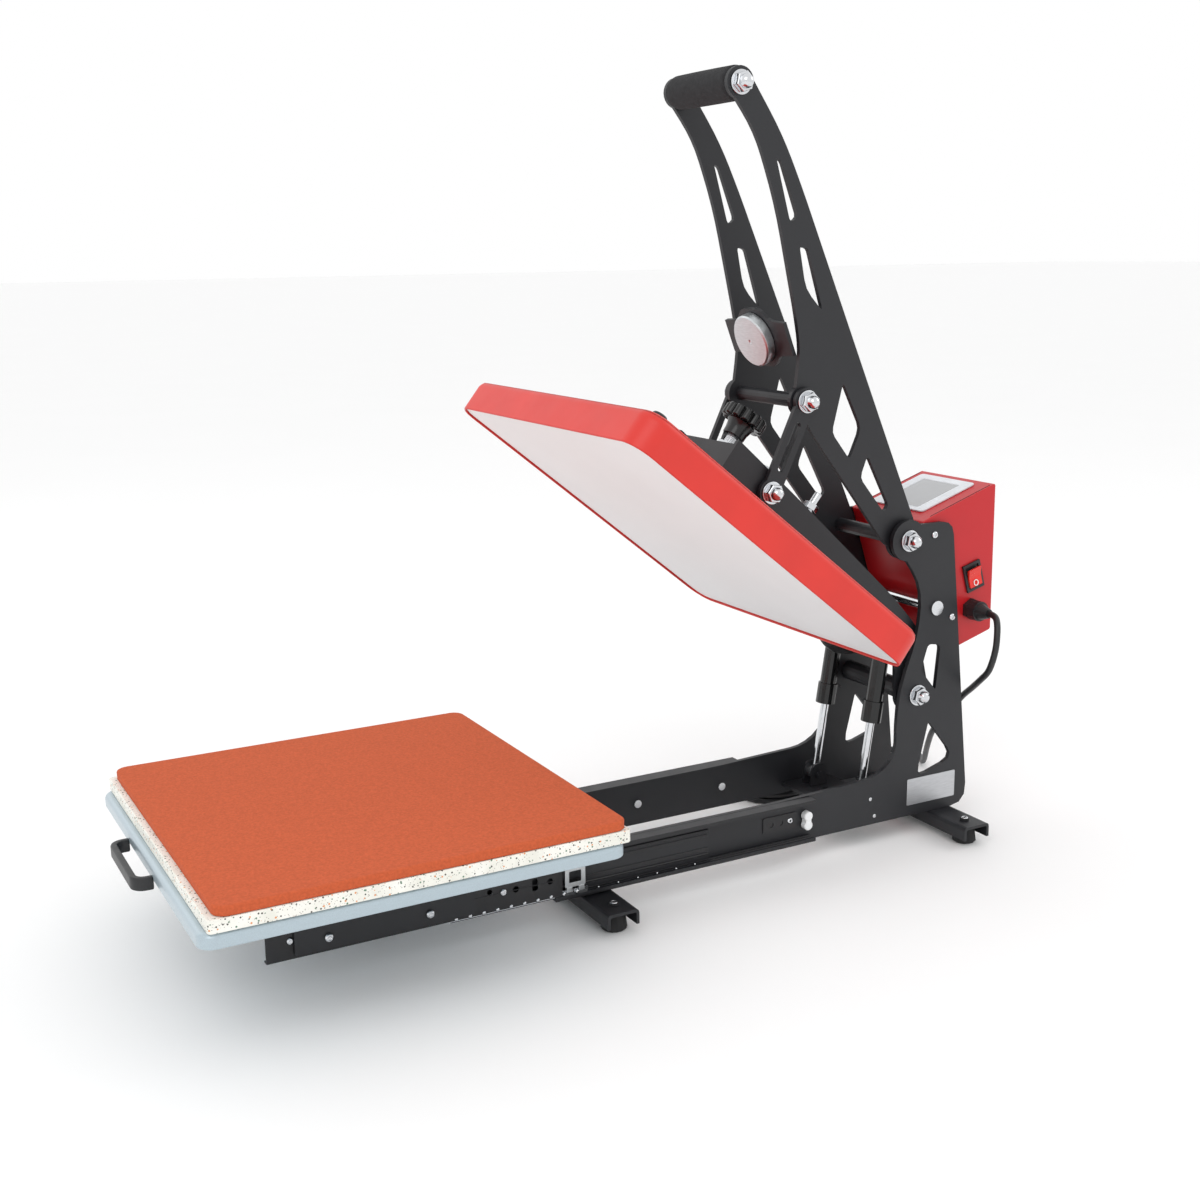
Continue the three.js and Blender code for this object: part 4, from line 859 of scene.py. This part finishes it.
def side_pair(name, make, body, material, bevel=0.3, stands_for=""):
    """make() gives a right-hand piece; its mirror image is the left-hand one."""
    right = make()
    right.name = name + "_right"
    left = mirrored(right, name + "_left")
    for side, obj in (("right", right), ("left", left)):
        nodes = (f"{stands_for}_{side}",) if stands_for else ()
        fit(obj, body, material, SHOP, bevel, nodes)


def inner_member():
    """The rail on the drawer: a channel with slots and holes through its web."""
    web = plate_x("web", soft_rectangle(-117, 172, 31.5, 66.6, 1), 78.2, 79.6)
    holes = [
        bar_x("hole", radius, 70, 90, y, z, count=24)
        for radius, y, z in ((3.2, 123, 49), (3.0, 159, 49), (3.6, 60, 49), (3.2, -70, 49), (2.6, 96, 52))
    ]
    slot = plate_x("slot", soft_rectangle(140, 146, 43, 55, 2.5), 70, 90)
    web = carve(web, *holes, slot)
    lips = [
        box("lip", 72.6, 78.4, -117, 172, z, z + 1.4)
        for z in (31.5, 65.2)
    ]
    groove = box("groove", 79.4, 79.9, -100, 165, 48.2, 48.9)
    return merge("rail", [web, *lips, groove])


def ball_cage():
    """The thin steel cage with its balls, along the lower and upper edge of the middle rail."""
    pieces = []
    for z in (32.6, 65.4):
        pieces.append(box("strip", 77.3, 78.0, 54, 200, z - 2.6, z + 2.6))
        pieces += [ball("ball", 2.4, 78.0, 62 + 14 * i, z) for i in range(10)]
    return merge("cage", pieces)


def release_clip():
    """A square loop of bright strip with a foot on each side, at the front end of the outer rail."""
    loop = plate_x("loop", soft_rectangle(175, 197, 38, 58, 2), 78.2, 79.6)
    window = plate_x("window", soft_rectangle(179.5, 192.5, 42.5, 54, 1), 70, 90)
    loop = carve(loop, window)
    feet = [
        box("foot", 76.5, 80.2, y, y + 6, 33.4, 38.6)
        for y in (176.5, 189.5)
    ]
    return merge("clip", [loop, *feet])


def stop_plate():
    """The raised rectangle pressed into the outer rail, with two dimples."""
    plate = plate_x("raised", soft_rectangle(410, 452, 42, 59, 2), 68.5, 69.7)
    dimples = [bar_x("dimple", 3.0, 69.0, 80, y, 50.5, count=24) for y in (420, 432)]
    return carve(plate, *dimples)


def bumper():
    """A soft white stop with two lobes."""
    lobes = [bar_x("lobe", 5.2, 68.8, 77, 463, z, 1.0, 28) for z in (43.5, 53.5)]
    waist = box("waist", 69.2, 76.4, 459.5, 466.5, 43, 54)
    return union(lobes[0], lobes[1], waist)


def bar_y(name, radius, y0, y1, x, z, count=16):
    """A round bead along Y."""
    loops = [[(a, y, b) for a, b in circle(radius, x, z, count)] for y in (y0, y1)]
    return loft(name, loops)


def outer_races():
    """The rolled grooves that the balls run in, above and below the outer rail's web."""
    beads = [bar_y("bead", 1.6, 166, 469, x, z) for x in (70.4, 75.0) for z in (29.2, 68.9)]
    lips = [box("lip", 78.2, 79.9, 165.5, 469.5, z, z + 2.2) for z in (26.4, 69.6)]
    return merge("races", beads + lips)


def middle_ribs():
    """Long ribs rolled into the middle rail."""
    ribs = [bar_y("rib", radius, 58, 341, 71.4, z) for radius, z in ((1.5, 36.5), (1.5, 61.6))]
    ribs += [box("step", 71.0, 72.0, 58, 341, z, z + 3) for z in (40.5, 54.6)]
    return merge("ribs", ribs)


def race_dots():
    """Bright balls that show along the lower race."""
    return merge("dots", [ball("dot", 1.1, 77.6, 212 + 22 * i, 31.2) for i in range(6)])


side_pair("outer_races", outer_races, "frame", SLIDE_BLACK, 0.2, "")
side_pair("middle_ribs", middle_ribs, "mid_slides", SLIDE_BLACK, 0.2, "")
side_pair("race_dots", race_dots, "mid_slides", CHROME, 0, "")
side_pair("drawer_rail", inner_member, "drawer", SLIDE_BLACK, 0.3, "inner_rail")
side_pair("ball_cage", ball_cage, "mid_slides", CHROME, 0.1, "")
side_pair("release_clip", release_clip, "frame", ZINC, 0.3, "")
side_pair("stop_plate", stop_plate, "frame", SLIDE_BLACK, 0.3, "")
side_pair("rail_bumper", bumper, "frame", WHITE_PLASTIC, 0.5, "")
screw_pair("rail_screw", "frame", 68.8, 444, 50.5, 3.6, 2.0)
for mark, (y, z) in enumerate(((-95, 49), (30, 49), (110, 49))):
    screw_pair(f"drawer_rail_screw_{mark + 1}", "drawer", 79.65, y, z, 3.4, 1.9)
for mark, y in enumerate((-61, 35)):
    screw_pair(f"bracket_nut_{mark + 1}", "drawer", 83.0, y, 46, 4.4, 3.0)


# ------------------------------------------------------------------ handle
def make_grip():
    """A foam sleeve, swollen a little between its pinched ends."""
    profile = [(12.5, -52.1), (15.2, -51.4), (16.2, -49)]
    for k in range(1, 24):
        x = -49 + 98 * k / 24
        profile.append((16.2 + 0.25 * math.sin(math.pi * k / 24), x))
    profile += [(16.2, 49), (15.2, 51.4), (12.5, 52.1)]
    grip = turned("grip_sleeve", profile, "X", (GRIP.y, GRIP.z), 56)
    fit(grip, "handle", FOAM, SHOP, 0, ("foam_grip",))


def make_disc():
    """A turned steel disc with a chamfered rim and a shallow pip at its centre."""
    disc = turned(
        "steel_disc",
        [(1.6, -4.4), (2.4, -5.0), (25.9, -5.0), (27.4, -3.7), (27.5, 4.6), (27.0, 5.0)],
        "Z", (0, 0), 72,
    )
    fit(disc, "handle", ZINC, DISC, 0.2, ("armature_disc",))


make_grip()
make_disc()


# ------------------------------------------------------------------ control box
BOX_HALF_WIDTH = 60.7
SLOPE = math.atan2(382 - 349, 717 - 616)
PANEL = SHOP @ Matrix.Translation((0, 616, 349)) @ Matrix.Rotation(SLOPE, 4, "X")


def make_box():
    """A folded sheet case with softened bends."""
    outline = rounded([(663, 203, 3), (718, 219, 3), (717, 382, 3), (616, 349, 3)])
    case = plate_x("sheet_case", outline, -BOX_HALF_WIDTH, BOX_HALF_WIDTH)
    fit(case, "frame", BOX_RED, SHOP, 1.4, ("control_box",))
    seams = [
        box("seam", x - 0.2, x + 0.2, 14, 100, 0.0, 0.35)
        for x in (-57.6, 57.6)
    ]
    fit(merge("case_seams", seams), "frame", BLACK, PANEL, 0, ())


def panel_slab(name, x0, x1, y0, y1, z0, z1, corner):
    return slab_z(name, soft_rectangle(x0, x1, y0, y1, corner), z0, z1)


def make_screen():
    bezel = panel_slab("screen_bezel", -48, 40, 17.5, 95.5, 0.2, 2.0, 5)
    opening = panel_slab("opening", -34, 26, 24.6, 85, 1.2, 3.0, 2)
    fit(carve(bezel, opening), "frame", PANEL_PLASTIC, PANEL, 0.4, ("touch_panel",))
    glass = panel_slab("screen_glass", -33.6, 25.6, 25, 84.6, 1.0, 1.7, 1.6)
    fit(glass, "frame", SCREEN, PANEL, 0.2, ())


ROCKER_LEAN = math.radians(16)
ROCKER_PLACE = SHOP @ Matrix.Translation((BOX_HALF_WIDTH, 688.5, 282.5)) @ Matrix.Rotation(ROCKER_LEAN, 4, "X")
ROCKER_MARKS = ROCKER_PLACE @ Matrix.Rotation(math.radians(-9), 4, "Z")


def make_rocker_marks():
    """A bar and a ring, the usual on and off signs."""
    bar = box("on_bar", 5.0, 5.5, -0.6, 0.6, 3.5, 9.5)
    angle = [2 * math.pi * k / 24 for k in range(24)]
    inner = [(5.1, 2.1 * math.cos(t), -6.5 + 2.8 * math.sin(t)) for t in angle]
    outer = [(5.1, 3.0 * math.cos(t), -6.5 + 3.7 * math.sin(t)) for t in angle]
    raised = [(5.6, y, z) for _, y, z in outer]
    raised_inner = [(5.6, y, z) for _, y, z in inner]
    ring = loft("off_ring", [inner, outer, raised, raised_inner], caps=False, closed=True)
    fit(merge("rocker_marks", [bar, ring]), "power_rocker", MARK, ROCKER_MARKS, 0, ())


make_box()
make_screen()
make_rocker_marks()


# ------------------------------------------------------------------ label and side plate screws
def make_label():
    plate = plate_x("blank_label", soft_rectangle(601, 668, 36, 66, 1.5), 67.02, 67.5)
    fit(plate, "frame", LABEL, SHOP, 0.1, ())


make_label()
screw_pair("plate_pin_upper", "frame", 66.9, 551, 53, 2.2, 0.8)
screw_pair("plate_pin_lower", "frame", 66.9, 557, 33, 2.2, 0.8)
for mark, y in enumerate((335, 443)):
    screw_pair(f"sill_nut_{mark + 1}", "frame", 59.0, y, 48, 4.4, 3.0)


# ------------------------------------------------------------------ feet
def make_foot_screws():
    for name, y in (("front", 212.5), ("rear", 649)):
        for side, x in (("right", 107), ("left", -107)):
            screw = turned(
                f"{name}_foot_screw_{side}",
                [(3.9, 23.8), (4.2, 24.3), (4.2, 26.2), (3.2, 27.0), (2.0, 27.0), (1.8, 25.2)],
                "Z", (x, y), 28,
            )
            fit(screw, "frame", CHROME, SHOP, 0, ())


make_foot_screws()


# ------------------------------------------------------------------ wiring conduit
CONDUIT_ROUTE = [
    (-13, 502, 297), (-13, 516, 291), (-14, 528, 279), (-15, 537, 258), (-16, 544, 235), (-17, 553, 216),
    (-19, 568, 204), (-20, 588, 200), (-21, 608, 202), (-21, 626, 210), (-21, 639, 221), (-21, 648.5, 231),
]


def make_conduit():
    """A corrugated tube: the radius rises and falls along the line."""
    line = smooth_line(CONDUIT_ROUTE, 1.1)
    sizes = [9.3 if (i // 2) % 2 == 0 else 7.9 for i in range(len(line))]
    rings = sweep("corrugated_conduit", line, lambda i: sizes[min(i, len(sizes) - 1)], 24)
    fit(rings, None, HOSE, SHOP, 0, ("conduit",))
    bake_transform(rings)


make_conduit()


# ------------------------------------------------------------------ stage
def make_stage():
    bm = bmesh.new()
    for x, y in ((-40, -40), (40, -40), (40, 40), (-40, 40)):
        bm.verts.new((x, y, -0.0002))
    bm.faces.new(bm.verts)
    floor = add_object("floor", bm)
    surface = Surface("pale_floor", (250, 250, 250), 0.7)
    floor.data.materials.append(surface.mottle(400, 0.004).material)
    world = bpy.data.worlds.new("studio")
    world.use_nodes = True
    world.node_tree.nodes["Background"].inputs["Color"].default_value = (1, 1, 1, 1)
    world.node_tree.nodes["Background"].inputs["Strength"].default_value = 1.0
    bpy.context.scene.world = world
    bpy.context.scene.view_settings.view_transform = "Standard"
    for name, place, target, size, power in (
        ("key", (1.6, -1.5, 2.2), (0, 0, 0.3), 1.6, 13),
        ("fill", (-2.0, -1.4, 1.6), (0, 0, 0.3), 1.8, 4),
        ("rim", (0.8, 2.4, 1.8), (0, 0, 0.3), 1.4, 7),
    ):
        data = bpy.data.lights.new(name, "AREA")
        data.size = size
        data.energy = power
        light = bpy.data.objects.new(name, data)
        light.location = place
        direction = Vector(target) - Vector(place)
        light.rotation_euler = direction.to_track_quat("-Z", "Y").to_euler()
        bpy.context.scene.collection.objects.link(light)


make_stage()


# ------------------------------------------------------------------ carried-over CAD nodes
def dress_nodes():
    dress = {
        "black_paint": BLACK,
        "rubber": RUBBER,
        "bright_steel": CHROME,
        "zinc_plate": ZINC,
        "red_box": BOX_RED,
        "red_cover": COVER_RED,
        "tray_paint": TRAY,
        "insulating_board": BOARD,
        "silicone_sponge": SPONGE,
        "release_sheet": SHEET,
        "cast_aluminium": ALUMINIUM,
        "wool_blanket": WOOL,
        "panel_plastic": PANEL_PLASTIC,
        "rocker_plastic": ROCKER,
        "black_plastic": PLASTIC,
        "circuit_board": GREEN_BOARD,
    }
    for part in frame["record"]["subparts"]:
        node = frame["nodes"][part["node"]]
        node.data.materials.clear()
        gas_spring = part["node"].startswith("spring_cylinder")
        node.data.materials.append(GLOSS_BLACK if gas_spring else dress[part["material_slot"]])


dress_nodes()
